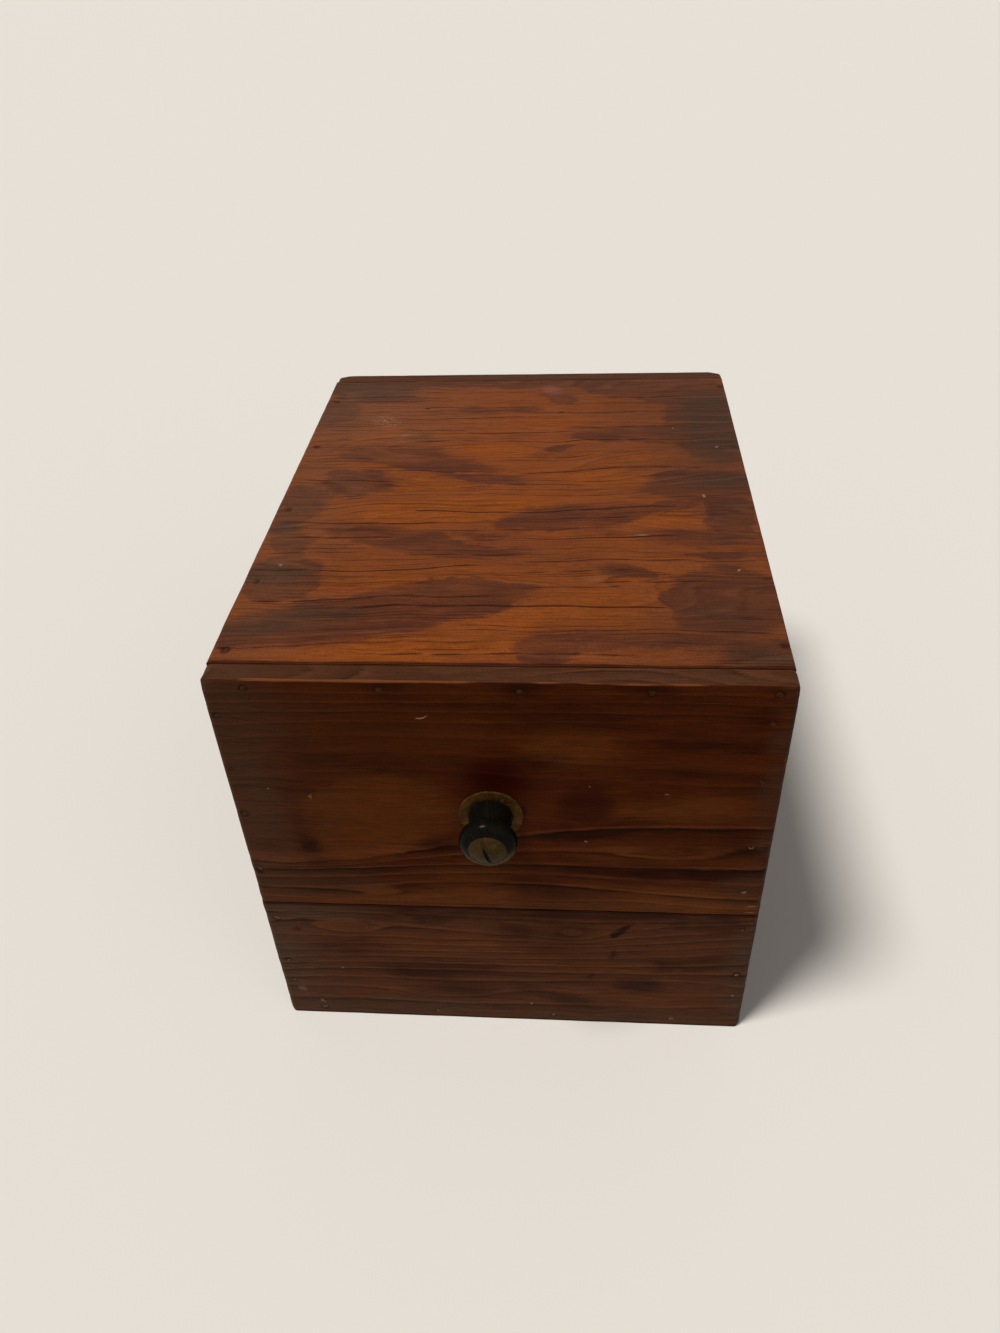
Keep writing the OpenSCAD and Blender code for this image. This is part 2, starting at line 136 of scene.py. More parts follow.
# Grain
RING_SWIRL = 11.0  # how far the grain wanders on faces the photograph doesn't show
RING_SPACING = 7.0
RING_TILT = 0.7  # how much the rings lean on the way through a board
SWIRL_SIZE = (130, 40, 40)
USUAL_DARK, DARK_UNEVEN, DARK_SIZE = 0.4, 0.25, (90, 25, 25)
GRAIN_SHIFT = 400.0  # keeps each board in a part of the grain of its own
CLIMB_FADE = 9.0  # width of the strip at an edge where the grain isn't lifted
CLIMB_UNEVEN, CLIMB_SIZE = 0.9, (48, 26)  # lift everywhere, in millimetres, and the size of its bumps
CURVE_DEGREE = 4  # of the curves through the stations of the grain's lines

# Spots and rubbed edges
SPOT_REACH = 12.0  # how far from a spot its distance is told
HIDDEN_SHRINK = 3.0  # how much smaller spots are where they show on a board's other faces
HIDDEN_PLACE = 50.0  # keeps the soft marks off a board's other faces
USUAL_RUB = 0.45
RUB_FADE = (12, 6)  # how far outside and inside its ends a worn stretch fades
# dirt and painted shade along joints: how dark it is, and how far from a joint it begins and ends to fade
JOINT_DIRT_AND_SHADE, JOINT_FADE = 0.9, (0.3, 2.4)
FRONT_RUBS = ((-100, -8, 1.0), (12, 24, 0.8), (48, 80, 0.9))  # worn stretches of the front's top edge


def grid_lines(low, high, step, marks, firm):
    """Grid lines from low to high: fine ones at both ends, the marks and even ones between.

    Lines too close to a firm line give way to it."""
    kept = [low, high] + [m for m in firm if low < m < high]
    wanted = [low + e for e in EDGE_STEPS] + [high - e for e in EDGE_STEPS]
    wanted += [m for m in marks if low < m < high]
    for value in wanted:
        if min(abs(value - k) for k in kept) >= CLOSEST_LINES:
            kept.append(value)
    kept = sorted(kept)
    lines = []
    for a, b in zip(kept, kept[1:]):
        lines += list(np.linspace(a, b, max(1, round((b - a) / step)), endpoint=False))
    return np.array(lines + [high])


def nail_heads(node, face):
    """Middles of the heads of a node's nails, in millimetres, from their outermost rims."""
    axis, side = face
    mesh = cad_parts[node].data
    points = np.array([v.co for v in mesh.vertices]) / MM
    level = points[:, axis].max() if side else points[:, axis].min()
    rim = points[abs(points[:, axis] - level) < 0.01]
    heads = []
    while len(rim):
        near = np.linalg.norm(rim - rim[0], axis=1) < HEAD_WIDTH
        heads.append((rim[near].min(0) + rim[near].max(0)) / 2)
        rim = rim[~near]
    return heads


def surface_grid(lines):
    """Points on a box's surface at the crossings of three sets of grid lines, and its quads."""
    counts = [len(a) for a in lines]
    index = np.indices(counts)
    outside = np.zeros(counts, bool)
    for axis, count in enumerate(counts):
        outside |= (index[axis] == 0) | (index[axis] == count - 1)
    number = np.full(counts, -1)
    number[outside] = np.arange(outside.sum())
    points = np.stack([lines[a][index[a][outside]] for a in range(3)], axis=1)
    quads = []
    for axis, side in FACES:
        sheet = np.take(number, counts[axis] - 1 if side else 0, axis=axis)
        quad = np.stack([sheet[:-1, :-1], sheet[1:, :-1], sheet[1:, 1:], sheet[:-1, 1:]], axis=-1)
        quad = quad.reshape(-1, 4)
        if (side == 1) == (axis == Y):
            quad = quad[:, ::-1]
        quads.append(quad)
    return points, np.concatenate(quads)


def round_edges(points, low, high, radius_of):
    """Rounds the box's twelve edges. radius_of gives the radius along the edge of two faces."""
    for along in range(3):
        a, b = [axis for axis in range(3) if axis != along]
        for side_a, side_b in ((0, 0), (0, 1), (1, 0), (1, 1)):
            r = radius_of((a, side_a), (b, side_b), points[:, along])
            centre_a = high[a] - r if side_a else low[a] + r
            centre_b = high[b] - r if side_b else low[b] + r
            out_a = (points[:, a] - centre_a) * (1 if side_a else -1)
            out_b = (points[:, b] - centre_b) * (1 if side_b else -1)
            far = np.hypot(out_a, out_b)
            cut = (out_a > 0) & (out_b > 0) & (far > r)
            pull = np.where(cut, r / np.maximum(far, 1e-9), 1)
            points[:, a] = np.where(cut, centre_a + (points[:, a] - centre_a) * pull, points[:, a])
            points[:, b] = np.where(cut, centre_b + (points[:, b] - centre_b) * pull, points[:, b])


def outside_spot(u, v, mid_u, mid_v, half_u, half_v, size=1.0, turn=0):
    """How far each point lies outside a spot, and as a negative number inside it.

    A size under 1 shrinks the spot, and turn is in degrees."""
    c, s = math.cos(math.radians(turn)), math.sin(math.radians(turn))
    du, dv = u - mid_u, v - mid_v
    far = np.hypot((du * c + dv * s) / half_u, (dv * c - du * s) / half_v)
    return (far - size) * min(half_u, half_v)


def outside_spots(u, v, spots):
    """The same for the nearest one of several spots."""
    outside = np.full(len(u), SPOT_REACH)
    for spot in spots:
        outside = np.minimum(outside, outside_spot(u, v, *spot))
    return outside


def contours(u, v, stations, rows, eyes):
    """How many of the grain's lines lie below each point, and how dark the nearest one above is.

    Each row is one line: its height at each station along u, and its darkness. Each eye bends the
    lines round a place: (middle u, middle v, half u, half v, lines)."""
    bends = [np.polyval(np.polyfit(np.array(stations) / 100, row[:-1], CURVE_DEGREE), u / 100)
             for row in rows]
    phase = np.zeros(len(u))
    dark = np.full(len(u), rows[0][-1])
    for below, above, low_row, high_row in zip(bends, bends[1:], rows, rows[1:]):
        part = np.clip((v - below) / np.maximum(above - below, 0.5), 0, 1)
        phase += part
        dark += (high_row[-1] - low_row[-1]) * ease(part, 0, 0.4)
    return phase + eye_lines(u, v, eyes), dark


def eye_lines(u, v, eyes):
    """How many lines the eyes add at each point."""
    total = np.zeros(len(u))
    for mid_u, mid_v, half_u, half_v, lines in eyes:
        total += lines * np.exp(-((u - mid_u) / half_u) ** 2 - ((v - mid_v) / half_v) ** 2)
    return total


NO_LOOKS = dict.fromkeys(("climbs", "checks", "stains", "grime", "glows", "eyes", "clean", "weathered_and_sheen"), ())


class Board:
    """One worn board that replaces a CAD node.

    show is the face that is seen, along the axis of the grain, edges the radii of exposed edges,
    nails pairs of a nail node and the face its heads lie in, gaps pairs of a face and how far it is
    drawn inwards, and looks what is seen, where there is any:
    climbs, where the grain steps up: (from u, to u, middle v, half width, rise)
    checks, cracks along the grain: (v, from u, to u, darkness)
    stains, grime, glows: spots as outside_spot takes them
    rings, the shown face's lines as contours takes them, or eyes alone, as eye_lines takes them
    clean, faces along which no dirt or painted shade lies, and last the faces that get the grey-brown of
    weathering and painted sheen."""

    def __init__(self, node, body, slot, show, along, edges, nails, looks, material, seed, gaps=()):
        self.node = node
        self.show = show
        self.along = along
        self.across = 3 - show[0] - along
        self.low, self.high = corners(node)
        self.edges = {frozenset(pair): radius for pair, radius in edges}
        self.looks = {**NO_LOOKS, **looks}
        self.seed = seed
        self.gaps = gaps
        self.heads = [(p, face) for name, face in nails for p in nail_heads(name, face)
                      if self.holds(p, face)]
        self.build(body, material)

    def depth(self, q, face):
        """How far inside one of the board's faces each point lies."""
        axis, side = face
        return self.high[axis] - q[..., axis] if side else q[..., axis] - self.low[axis]

    def on_face(self, q, face):
        return abs(self.depth(q, face)) < ON_FACE

    def edge_distance(self, q, pair):
        """Distance of points from the edge of two faces."""
        return np.hypot(*[self.depth(q, face) for face in pair])

    def inset(self, q, axis):
        """Distance of points from the nearest edge of a face across the axis."""
        away = [np.minimum(self.depth(q, (a, 0)), self.depth(q, (a, 1))) for a in range(3) if a != axis]
        return np.minimum(*away)

    def holds(self, place, face):
        """Whether a nail's head lies in this board's face."""
        inside = all(self.low[a] < place[a] < self.high[a] for a in range(3) if a != face[0])
        return inside and abs(self.depth(place, face)) < 2 * NAIL_SET

    def lines(self):
        marks = [[], [], []]
        firm = [[], [], []]
        for place, face in self.heads:
            for axis in range(3):
                if axis != face[0]:
                    marks[axis] += [place[axis] + s * d for d in NAIL_STEPS for s in (-1, 1)]
        for v, *_ in self.looks["checks"]:
            marks[self.across] += [v - CHECK_HALF_WIDTH, v + CHECK_HALF_WIDTH]
            firm[self.across].append(v)
        steps = [ACROSS_STEP] * 3
        steps[self.along] = ALONG_STEP
        return [grid_lines(self.low[a], self.high[a], steps[a], marks[a], firm[a]) for a in range(3)]

    def radius(self, face_a, face_b, t):
        """Radius along an edge, with wear where the edge is exposed, and more at exposed corners."""
        size = self.edges.get(frozenset((face_a, face_b)))
        if size is None:
            return np.full(len(t), FINE_EDGE) * (1 + FINE_UNEVEN * ripple([t], FINE_SPACING, self.seed))
        seed = self.seed + 7 * face_a[0] + 3 * face_a[1] + 2 * face_b[0] + face_b[1]
        wear = 1
        for n, (much, spacing) in enumerate(WORN_UNEVEN):
            wear = wear + much * ripple([t], spacing, seed + n)
        radius = size * np.clip(wear, *WORN_RANGE)
        along = 3 - face_a[0] - face_b[0]
        for end in ((along, 0), (along, 1)):
            if frozenset((face_a, end)) in self.edges and frozenset((face_b, end)) in self.edges:
                away = self.high[along] - t if end[1] else t - self.low[along]
                ball = size + (CORNER_BALL - size) * (1 - ease(away, 1, CORNER_REACH))
                radius = np.maximum(radius, ball)
        return radius

    def climb(self, q):
        """How far the grain is lifted at each point, fading out at the edges and the hidden face."""
        u, v = q[:, self.along], q[:, self.across]
        lift = CLIMB_UNEVEN * ripple([u, v], CLIMB_SIZE, self.seed + CLIMB_SEED)
        for from_u, to_u, mid_v, half, rise in self.looks["climbs"]:
            lift = lift + rise * ease(u, from_u, to_u) * np.exp(-((v - mid_v) / half) ** 2 / 2)
        mask = stretch(v, self.low[self.across], self.high[self.across], 0, CLIMB_FADE)
        axis, side = self.show
        share = self.depth(q, (axis, 0)) / (self.high[axis] - self.low[axis])
        return lift * mask * (share if side else 1 - share)

    def checks(self, q):
        """How strongly each point lies in a check."""
        u, v = q[:, self.along], q[:, self.across]
        total = np.zeros(len(q))
        for n, (mid, start, end, dark) in enumerate(self.looks["checks"]):
            uneven = ripple([u], CHECK_SPACING, self.seed + CHECK_SEED + n)
            broken = np.clip(CHECK_USUAL + CHECK_UNEVEN * uneven, 0, 1)
            strength = dark * stretch(u, start, end, *CHECK_FADE) * broken
            total = np.where(abs(v - mid) < 1e-3, np.maximum(total, strength), total)
        return total * self.on_face(q, self.show)

    def dimples(self, q):
        """Depth of the hammer's dimples round the nails, and the dirt in them."""
        depth, dirt = np.zeros(len(q)), np.zeros(len(q))
        rng = np.random.default_rng(self.seed + DIMPLE_SEED)
        for place, face in self.heads:
            here = self.on_face(q, face)
            a, b = [axis for axis in range(3) if axis != face[0]]
            far = np.hypot(q[:, a] - place[a], q[:, b] - place[b])
            dent = DIMPLE_DEPTH * (1 - ease(far, DIMPLE_FLOOR, rng.uniform(*DIMPLE_REACH)))
            depth = np.maximum(depth, dent * here)
            dirt = np.maximum(dirt, rng.uniform(*DIMPLE_DIRT) * (1 - ease(far, *DIRT_FADE)) * here)
        return depth, dirt

    def shrink(self, p):
        """Draws the faces of gaps inwards, each by its own width, more in some places than in others."""
        for face, width in self.gaps:
            axis, side = face
            uneven = ripple([p[:, self.along]], GAP_SPACING, self.seed + SHRINK_SEED + side)
            open_here = np.clip(GAP_USUAL + GAP_UNEVEN * uneven, 0.2, 1)
            fade = 1 - ease(self.depth(p, face), 0, GAP_FADE)
            p[:, axis] += width * open_here * fade * (-1 if side else 1)

    def raw(self, q):
        """1 on the unfinished faces: the hidden one, and near it the ones that meet other boards."""
        axis, side = self.show
        depth = self.depth(q, (axis, 1 - side))
        finished = np.zeros(len(q), bool)
        for pair in self.edges:
            for face in pair:
                finished |= self.on_face(q, face) & (depth > ON_FACE)
        return (1 - ease(depth, 0.2, RAW_REACH)) * ~finished

    def rings(self, q, u, v, shown):
        """The phase of the grain's lines, how dark they are, and how much grey-brown of weathering and
        painted sheen the wood gets.
        """
        places = [q[:, self.along], q[:, self.across], q[:, self.show[0]]]
        swirl = RING_SWIRL * ripple(places, SWIRL_SIZE, self.seed + SWIRL_SEED)
        grown = (places[1] + RING_TILT * places[2] + swirl) / RING_SPACING
        dark = USUAL_DARK + DARK_UNEVEN * ripple(places, DARK_SIZE, self.seed + DARK_SEED)
        if "rings" in self.looks:
            drawn, drawn_dark = contours(u, v, *self.looks["rings"])
            grown = np.where(shown, drawn, grown)
            dark = np.where(shown, drawn_dark, dark)
        else:
            grown = grown + eye_lines(u, v, self.looks["eyes"])
        weather_and_sheen = np.zeros(len(q))
        for face in self.looks["weathered_and_sheen"]:
            weather_and_sheen = np.maximum(weather_and_sheen, self.on_face(q, face))
        return np.stack([grown, np.clip(dark, 0, 1), weather_and_sheen], axis=1)

    def joint_dirt_and_shade(self, q):
        """Dirt and painted shade along the shown face's edges that meet another board."""
        dirt = np.zeros(len(q))
        for other in FACES:
            pair = frozenset((self.show, other))
            clean = pair in self.edges or other in self.looks["clean"]
            if other[0] != self.show[0] and not clean:
                fade = 1 - ease(self.edge_distance(q, pair), *JOINT_FADE)
                dirt = np.maximum(dirt, JOINT_DIRT_AND_SHADE * fade)
        return dirt

    def rub(self, q):
        """Wear along the exposed edges."""
        worn = np.zeros(len(q))
        for pair, radius in self.edges.items():
            near = 1 - ease(self.edge_distance(q, pair), 0.3 * radius, 0.9 * radius + 0.5)
            much = np.full(len(q), USUAL_RUB)
            if pair == frozenset((FRONT, TOP)):
                for start, end, amount in FRONT_RUBS:
                    much = np.maximum(much, amount * stretch(q[:, X], start, end, *RUB_FADE))
            worn = np.maximum(worn, near * much)
        return worn

    def build(self, body, material):
        """Makes the piece: p are its points, and q the places that they had in the plain board."""
        q, quads = surface_grid(self.lines())
        p = q.copy()
        check = self.checks(q)
        dent, dirt = self.dimples(q)
        for face in FACES:
            axis, side = face
            a, b = [k for k in range(3) if k != axis]
            wave = WAVE_DEPTH * (0.5 + 0.5 * ripple([q[:, a], q[:, b]], WAVE_SIZE, self.seed + axis + side))
            wave = np.clip(wave, 0, 2 * WAVE_DEPTH) * ease(self.inset(q, axis), 0.5, EDGE_FADE)
            down = np.maximum(wave, dent)
            if face == self.show:
                down = np.maximum(down, CHECK_DEPTH * check)
            p[:, axis] += np.where(self.on_face(q, face), down, 0) * (-1 if side else 1)
        p[:, self.across] += self.climb(q)
        round_edges(p, self.low, self.high, self.radius)
        self.shrink(p)
        u, v = p[:, self.along], p[:, self.across]
        shown = self.on_face(q, self.show)
        grain = q[:, [self.along, self.across, self.show[0]]]
        spots = [outside_spots(u, v, self.looks[kind]) for kind in ("stains", "grime", "glows")]
        make_piece(self.node + "_worn", p, quads, body, material, [self.node], {
            "grain": grain + GRAIN_SHIFT * self.seed,
            "place": np.stack([u, v, np.where(shown, 0.0, HIDDEN_PLACE)], axis=1),
            "tone": np.stack(spots, axis=1) + np.where(shown, 0, HIDDEN_SHRINK)[:, None],
            # the middle part of wear is the nails' dirt, together with the dirt and painted shade along
            # joints
            "wear": np.stack([check, np.maximum(dirt, self.joint_dirt_and_shade(q)), self.rub(q)], axis=1),
            "rings": self.rings(q, u, v, shown),
            "raw": self.raw(q),
            "end": self.on_face(q, (self.along, 0)) | self.on_face(q, (self.along, 1)),
        })


def make_piece(name, points, faces, body, material, replaced, fields=()):
    """A smooth mesh piece from points in millimetres, riding a body in place of CAD nodes."""
    mesh = bpy.data.meshes.new(name)
    mesh.from_pydata((points * MM).tolist(), [], faces.tolist())
    for field, values in dict(fields).items():
        kind, key = ("FLOAT_VECTOR", "vector") if values.ndim == 2 else ("FLOAT", "value")
        attribute = mesh.attributes.new(field, kind, "POINT")
        attribute.data.foreach_set(key, values.astype(np.float32).ravel())
    mesh.materials.append(material)
    mesh.shade_smooth()
    mesh.update()
    piece = bpy.data.objects.new(name, mesh)
    bpy.context.scene.collection.objects.link(piece)
    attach(piece, body)
    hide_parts(*replaced)


# Materials

OLD_VARNISH = (1.0, 0.7, 0.42, 1.0)  # tints of the finishes' shine
OLD_LACQUER = (1.0, 0.72, 0.38, 1.0)
BLACK_POLISH = (1.0, 0.94, 0.78, 1.0)

# Colours as the screen shows them, from 0 to 255
RAW_WOOD = (132, 94, 62)
RAW_DARK = (92, 62, 40)
CRACK = (36, 15, 8)
# grey-brown on the lid walls' top edges: weathering and painted sheen
WEATHERED_AND_SHEEN = (74, 46, 30)
DARK_RED = (40, 5, 3)
PALE = (138, 108, 86)
HOLE = (28, 12, 8)
DIRT = (24, 16, 8)

NOISE_LOW, NOISE_HIGH = 0.3, 0.7  # between which noise mostly lies
PATCHY = 0.3  # strength of the ground's own patches
HAIRS = 3.0  # hair lines for each line of the grain
HAIR_STRENGTH = 0.4
RING_JITTER = 0.09
MARK_DRIFT = (5.0, 2.0, 0.0)  # how far the soft marks' outlines wander
SCUFF_STRENGTH = 0.55

RUBBED_BELOW = 0.12  # height in metres under which the nails' heads are rubbed bright
KNOB_FRONT = corners("knob")[0][Y] * MM
KNOB_X, _, KNOB_Z = sum(corners("knob")) / 2 * MM
BOLT_SLOT = (KNOB_X, KNOB_Z, math.radians(16), 0.7 * MM)
NOSE_RUB_AND_REFLECTION_FROM = KNOB_FRONT + 4 * MM  # in front of this the knob's polish is worn, and a reflection of the floor is painted on its lower half


def paint(red, green, blue):
    """A colour as the screen shows it, in the linear form that shaders take."""
    parts = [c / 255 for c in (red, green, blue)]
    return tuple(c / 12.92 if c <= 0.04045 else ((c + 0.055) / 1.055) ** 2.4 for c in parts) + (1.0,)


class Value:
    """What a node's socket gives. +, - and * combine it with numbers and other values."""

    def __init__(self, graph, socket):
        self.graph = graph
        self.socket = socket

    def __add__(self, other):
        return self.graph.math("ADD", self, other)

    def __sub__(self, other):
        return self.graph.math("SUBTRACT", self, other)

    def __mul__(self, other):
        return self.graph.math("MULTIPLY", self, other)


class Graph:
    """The nodes of a material or a world, with short names for the kinds used here."""

    def __init__(self, owner, shader="Principled BSDF", **settings):
        owner.use_nodes = True
        self.owner = owner
        self.tree = owner.node_tree
        self.shader = self.tree.nodes[shader]
        self.set(**settings)

    def set(self, **settings):
        """Sets the shader's sockets, whose names are given with _ for each space."""
        for socket, value in settings.items():
            self.feed(self.shader.inputs[socket.replace("_", " ")], value)

    def feed(self, socket, value):
        if isinstance(value, Value):
            self.tree.links.new(value.socket, socket)
        else:
            socket.default_value = value

    def add(self, kind, inputs=(), output=0, **settings):
        """Adds a node, and returns what one of its outputs gives."""
        node = self.tree.nodes.new("ShaderNode" + kind)
        for name, value in settings.items():
            setattr(node, name, value)
        for socket, value in dict(inputs).items():
            self.feed(node.inputs[socket], value)
        return Value(self, node.outputs[output])

    def field(self, name, output="Vector"):
        """A mesh attribute."""
        return self.add("Attribute", (), output, attribute_name=name)

    def split(self, vector):
        """The three parts of a vector."""
        node = self.add("SeparateXYZ", {0: vector}).socket.node
        return [Value(self, socket) for socket in node.outputs]

    def math(self, operation, first, second=0.0):
        return self.add("Math", {0: first, 1: second}, operation=operation)

    def vector(self, operation, first, second):
        return self.add("VectorMath", {0: first, 1: second}, operation=operation)

    def step(self, value, low, high, bottom=0.0, top=1.0):
        """Eases from bottom to top as value goes from low to high."""
        return self.add("MapRange", {0: value, 1: low, 2: high, 3: bottom, 4: top},
                        interpolation_type="SMOOTHSTEP")

    def scale(self, value, low, high, bottom, top):
        return self.add("MapRange", {0: value, 1: low, 2: high, 3: bottom, 4: top})

    def spread(self, noise, bottom, top):
        """Noise, made to go mostly from bottom to top."""
        return self.scale(noise, NOISE_LOW, NOISE_HIGH, bottom, top)

    def mix(self, much, first, second, mode="MIX"):
        first, second = [paint(*c) if isinstance(c, tuple) else c for c in (first, second)]
        return self.add("Mix", {0: much, 6: first, 7: second}, 2, data_type="RGBA", blend_type=mode)

    def layers(self, colour, *coats):
        """A colour under coats of others, each (how much of it shows, its colour)."""
        for much, tint in coats:
            colour = self.mix(much, colour, tint)
        return colour

    def noise(self, vector, sizes, detail=3.0, roughness=0.55):
        """Noise from 0 to 1 whose bumps have these sizes along the three axes of vector."""
        scaled = self.vector("MULTIPLY", vector, tuple(1 / s for s in sizes))
        return self.add("TexNoise", {"Vector": scaled, "Scale": 1.0, "Detail": detail,
                                     "Roughness": roughness})

    def spot(self, vector, middle, halves, softness=0.9, turn=0):
        """1 inside a flat ellipse of vector's plane, 0 outside."""
        turned = self.add("Mapping", {"Vector": vector, "Location": (*middle, 0),
                                      "Rotation": (0, 0, math.radians(turn)),
                                      "Scale": (*halves, 1e6)}, vector_type="TEXTURE")
        far = self.add("VectorMath", {0: turned}, "Value", operation="LENGTH")
        return self.step(far, 1 - softness, 1 + softness, 1.0, 0.0)

    def bump(self, height, distance):
        self.set(Normal=self.add("Bump", {"Strength": 1.0, "Distance": distance, "Height": height}))


def ring_lines(g, phase, strength, grain, ragged, soft):
    """Dark late wood just below each line of the grain, and pale early wood just above it.

    soft is the share of the line that fades in from below. Thin hair lines run between the others."""
    strength = strength * g.step(g.noise(grain, (50, 7, 7), 2.0), 0.36, 0.6, 0.55, 1.3)
    phase = phase + g.spread(ragged, -RING_JITTER, RING_JITTER)
    wave = g.math("FRACT", phase)
    hair = g.math("FRACT", phase * HAIRS)
    hair = g.step(hair, 0.5, 0.9) * g.step(hair, 0.93, 1.0, HAIR_STRENGTH, 0.0)
    fading = g.step(wave, 0.2, 0.95) * soft
    crisp = g.step(wave, 0.76, 0.92) * (1 - soft)
    line = (fading + crisp) * g.step(wave, 0.96, 1.0, 1.0, 0.0)
    after = g.step(wave, 0.0, 0.06) * g.step(wave, 0.12, 0.4, 1.0, 0.0)
    return g.math("MAXIMUM", line, hair) * strength, after * strength


def wood(name, colours, marks=(), scuff=None, ring=0.5, ring_fade=0.5, fine=0.4, spot_edge=2.0):
    """Stained, varnished and worn wood, drawn in the boards' own grain coordinates.

    colours are those of the ground, stain, grime, glow, dark grain and worn edges. marks are soft spots
    in the shown face: (middle u, middle v, half u, half v, strength, colour, softness, turn), of which the
    last two can be left out. spot_edge is the least width of the stains' outlines, in millimetres."""
    ground, stain, grime, glow, dark, worn = colours
    g = Graph(bpy.data.materials.new(name), IOR=1.45, Specular_IOR_Level=0.02, Specular_Tint=OLD_VARNISH)
    grain = g.field("grain")
    stained, grimy, glowing = g.split(g.field("tone"))
    checked, dirt_and_shade, rubbed = g.split(g.field("wear"))
    phase, strength, weathered_and_sheen = g.split(g.field("rings"))
    raw = g.field("raw", "Fac")
    end = g.field("end", "Fac")

    fibre = g.noise(grain, (9, 0.4, 0.4), 3.0, 0.65)
    speckle = g.noise(grain, (0.7, 0.4, 0.4), 2.0, 0.6)
    streak = g.noise(grain, (70, 2.4, 4), 3.0, 0.6)
    cloud = g.noise(grain, (34, 11, 11))
    haze = g.noise(grain, (50, 24, 24), 1.0)
    long_tongue = g.noise(grain, (36, 5, 5), 2.0, 0.6)
    short_tongue = g.noise(grain, (13, 1.1, 1.2), 3.0, 0.6)
    ragged = long_tongue * 0.6 + short_tongue * 0.4
    pores = g.step(g.noise(grain, (5.0, 0.25, 0.25), 1.0), 0.64, 0.74)
    fine_lines = g.step(g.noise(grain, (170, 0.9, 0.9), 1.5, 0.5), 0.57, 0.66)
    fine_lines = fine_lines * g.step(cloud, 0.35, 0.6, 0.4, 1.0)
    rings, pale_rings = ring_lines(g, phase, strength, grain, ragged, ring_fade)
    wander = g.spread(g.noise(grain, (20, 9, 9), 3.0, 0.6), -3.0, 3.0) + g.spread(short_tongue, -0.9, 0.9)

    def inside(outside, crisp, soft, least):
        """1 in spots, whose outlines wander, and 0 outside them. Within them it varies, down to least.

        The outline is between crisp and soft millimetres wide on each side."""
        width = g.scale(haze, 0.38, 0.62, crisp, soft)
        edge = g.step(outside + wander, width * -1.0, width, 1.0, 0.0)
        return edge * g.step(cloud, 0.3, 0.6, least, 1.0)

    def ragged_mask(field, centre, reach, soft=0.16):
        """1 where the field is past a centre that wanders by reach, and 0 where it isn't."""
        shifted = field + g.spread(ragged, -reach / 2, reach / 2)
        return g.step(shifted, centre - soft, centre + soft) * g.step(field, 0.0, 0.25)

    colour = g.layers(
        ground,
        (g.step(streak, 0.42, 0.66) * PATCHY, glow),
        (inside(glowing, 3.0, 7.0, 0.6), glow),
        (g.step(cloud, 0.46, 0.68) * PATCHY, stain),
        (inside(stained, spot_edge, 4 * spot_edge, 0.6), stain),
        (inside(grimy, 4.0, 7.0, 0.4), grime),
        # grey-brown on the lid walls' top edges: weathering and painted sheen
        (weathered_and_sheen * g.spread(ragged, 0.6, 0.95), WEATHERED_AND_SHEEN))
    if marks or scuff:
        place = g.field("place")
        drift = g.add("TexNoise", {"Vector": place, "Scale": 0.3, "Detail": 2.0}, "Color")
        drift = g.vector("MULTIPLY", g.vector("SUBTRACT", drift, (0.5, 0.5, 0.5)), MARK_DRIFT)
        place = g.vector("ADD", place, drift)
    if scuff:
        middle, halves, tint, *edge = scuff
        flecks = g.step(g.noise(place, (2.2, 1.6, 2), 3.0, 0.7), 0.5, 0.62)
        colour = g.mix(g.spot(place, middle, halves, *edge) * flecks * SCUFF_STRENGTH, colour, tint)
    for middle_u, middle_v, half_u, half_v, much, tint, *edge in marks:
        spot = g.spot(place, (middle_u, middle_v), (half_u, half_v), *edge)
        colour = g.mix(spot * much, colour, tint)
    colour = g.layers(
        colour,
        (pale_rings * (0.35 * ring), worn),
        (rings * ring, dark),
        (fine_lines * fine, dark))
    shade = g.spread(fibre, 0.76, 1.24) * g.spread(streak, 1.06, 0.94) * g.spread(speckle, 0.84, 1.16)
    colour = g.mix(1.0, colour, g.add("CombineXYZ", {0: shade, 1: shade, 2: shade}), "MULTIPLY")
    bare = g.layers(
        RAW_WOOD,
        (g.step(streak, 0.3, 0.75), RAW_DARK),
        (g.math("MAXIMUM", pores, rings) * 0.5, RAW_DARK))
    colour = g.layers(
        colour,
        (pores * 0.3, dark),
        (end * g.scale(speckle, 0.35, 0.65, 0.5, 0.85), dark),
        (ragged_mask(rubbed, 0.7, 0.9) * 0.75, worn),
        (raw, bare),
        (g.step(checked * g.spread(short_tongue, 0.85, 1.3), 0.1, 0.52) * 0.8, CRACK),
        # dark where the nails' dirt lies, and along joints, where it is dirt and painted shade
        (ragged_mask(dirt_and_shade, 0.5, 0.6, 0.35) * 0.75, dark))
    g.set(Base_Color=colour, Roughness=g.scale(ragged, 0.2, 0.8, 0.36, 0.6) + raw * 0.25)
    height = g.scale(fibre, 0, 1, 0, 0.06) + g.scale(pores, 0, 1, 0.05, 0) + g.scale(rings, 0, 1, 0, 0.05)
    g.bump(height, MM)
    return g.owner


def iron_metal():
    """Rusty iron, rubbed bright low down."""
    g = Graph(bpy.data.materials.new("rusty_iron"), Specular_IOR_Level=0.04, Specular_Tint=OLD_LACQUER)
    place = g.add("TexCoord", (), "Object")
    blotch = g.noise(place, (0.0011, 0.0011, 0.0011), 4.0, 0.65)
    low_down = g.step(g.split(place)[Z], RUBBED_BELOW, RUBBED_BELOW + 0.04, 1.0, 0.0)
    colour = g.layers(
        (66, 43, 28),
        (g.step(blotch, 0.4, 0.62), (38, 22, 14)),
        (low_down * g.step(blotch, 0.44, 0.58, 1.0, 0.0) * 0.8, (116, 92, 74)))
    g.set(Base_Color=colour, Roughness=g.scale(blotch, 0.2, 0.8, 0.6, 0.9))
    g.bump(blotch, 0.15 * MM)
    return g.owner


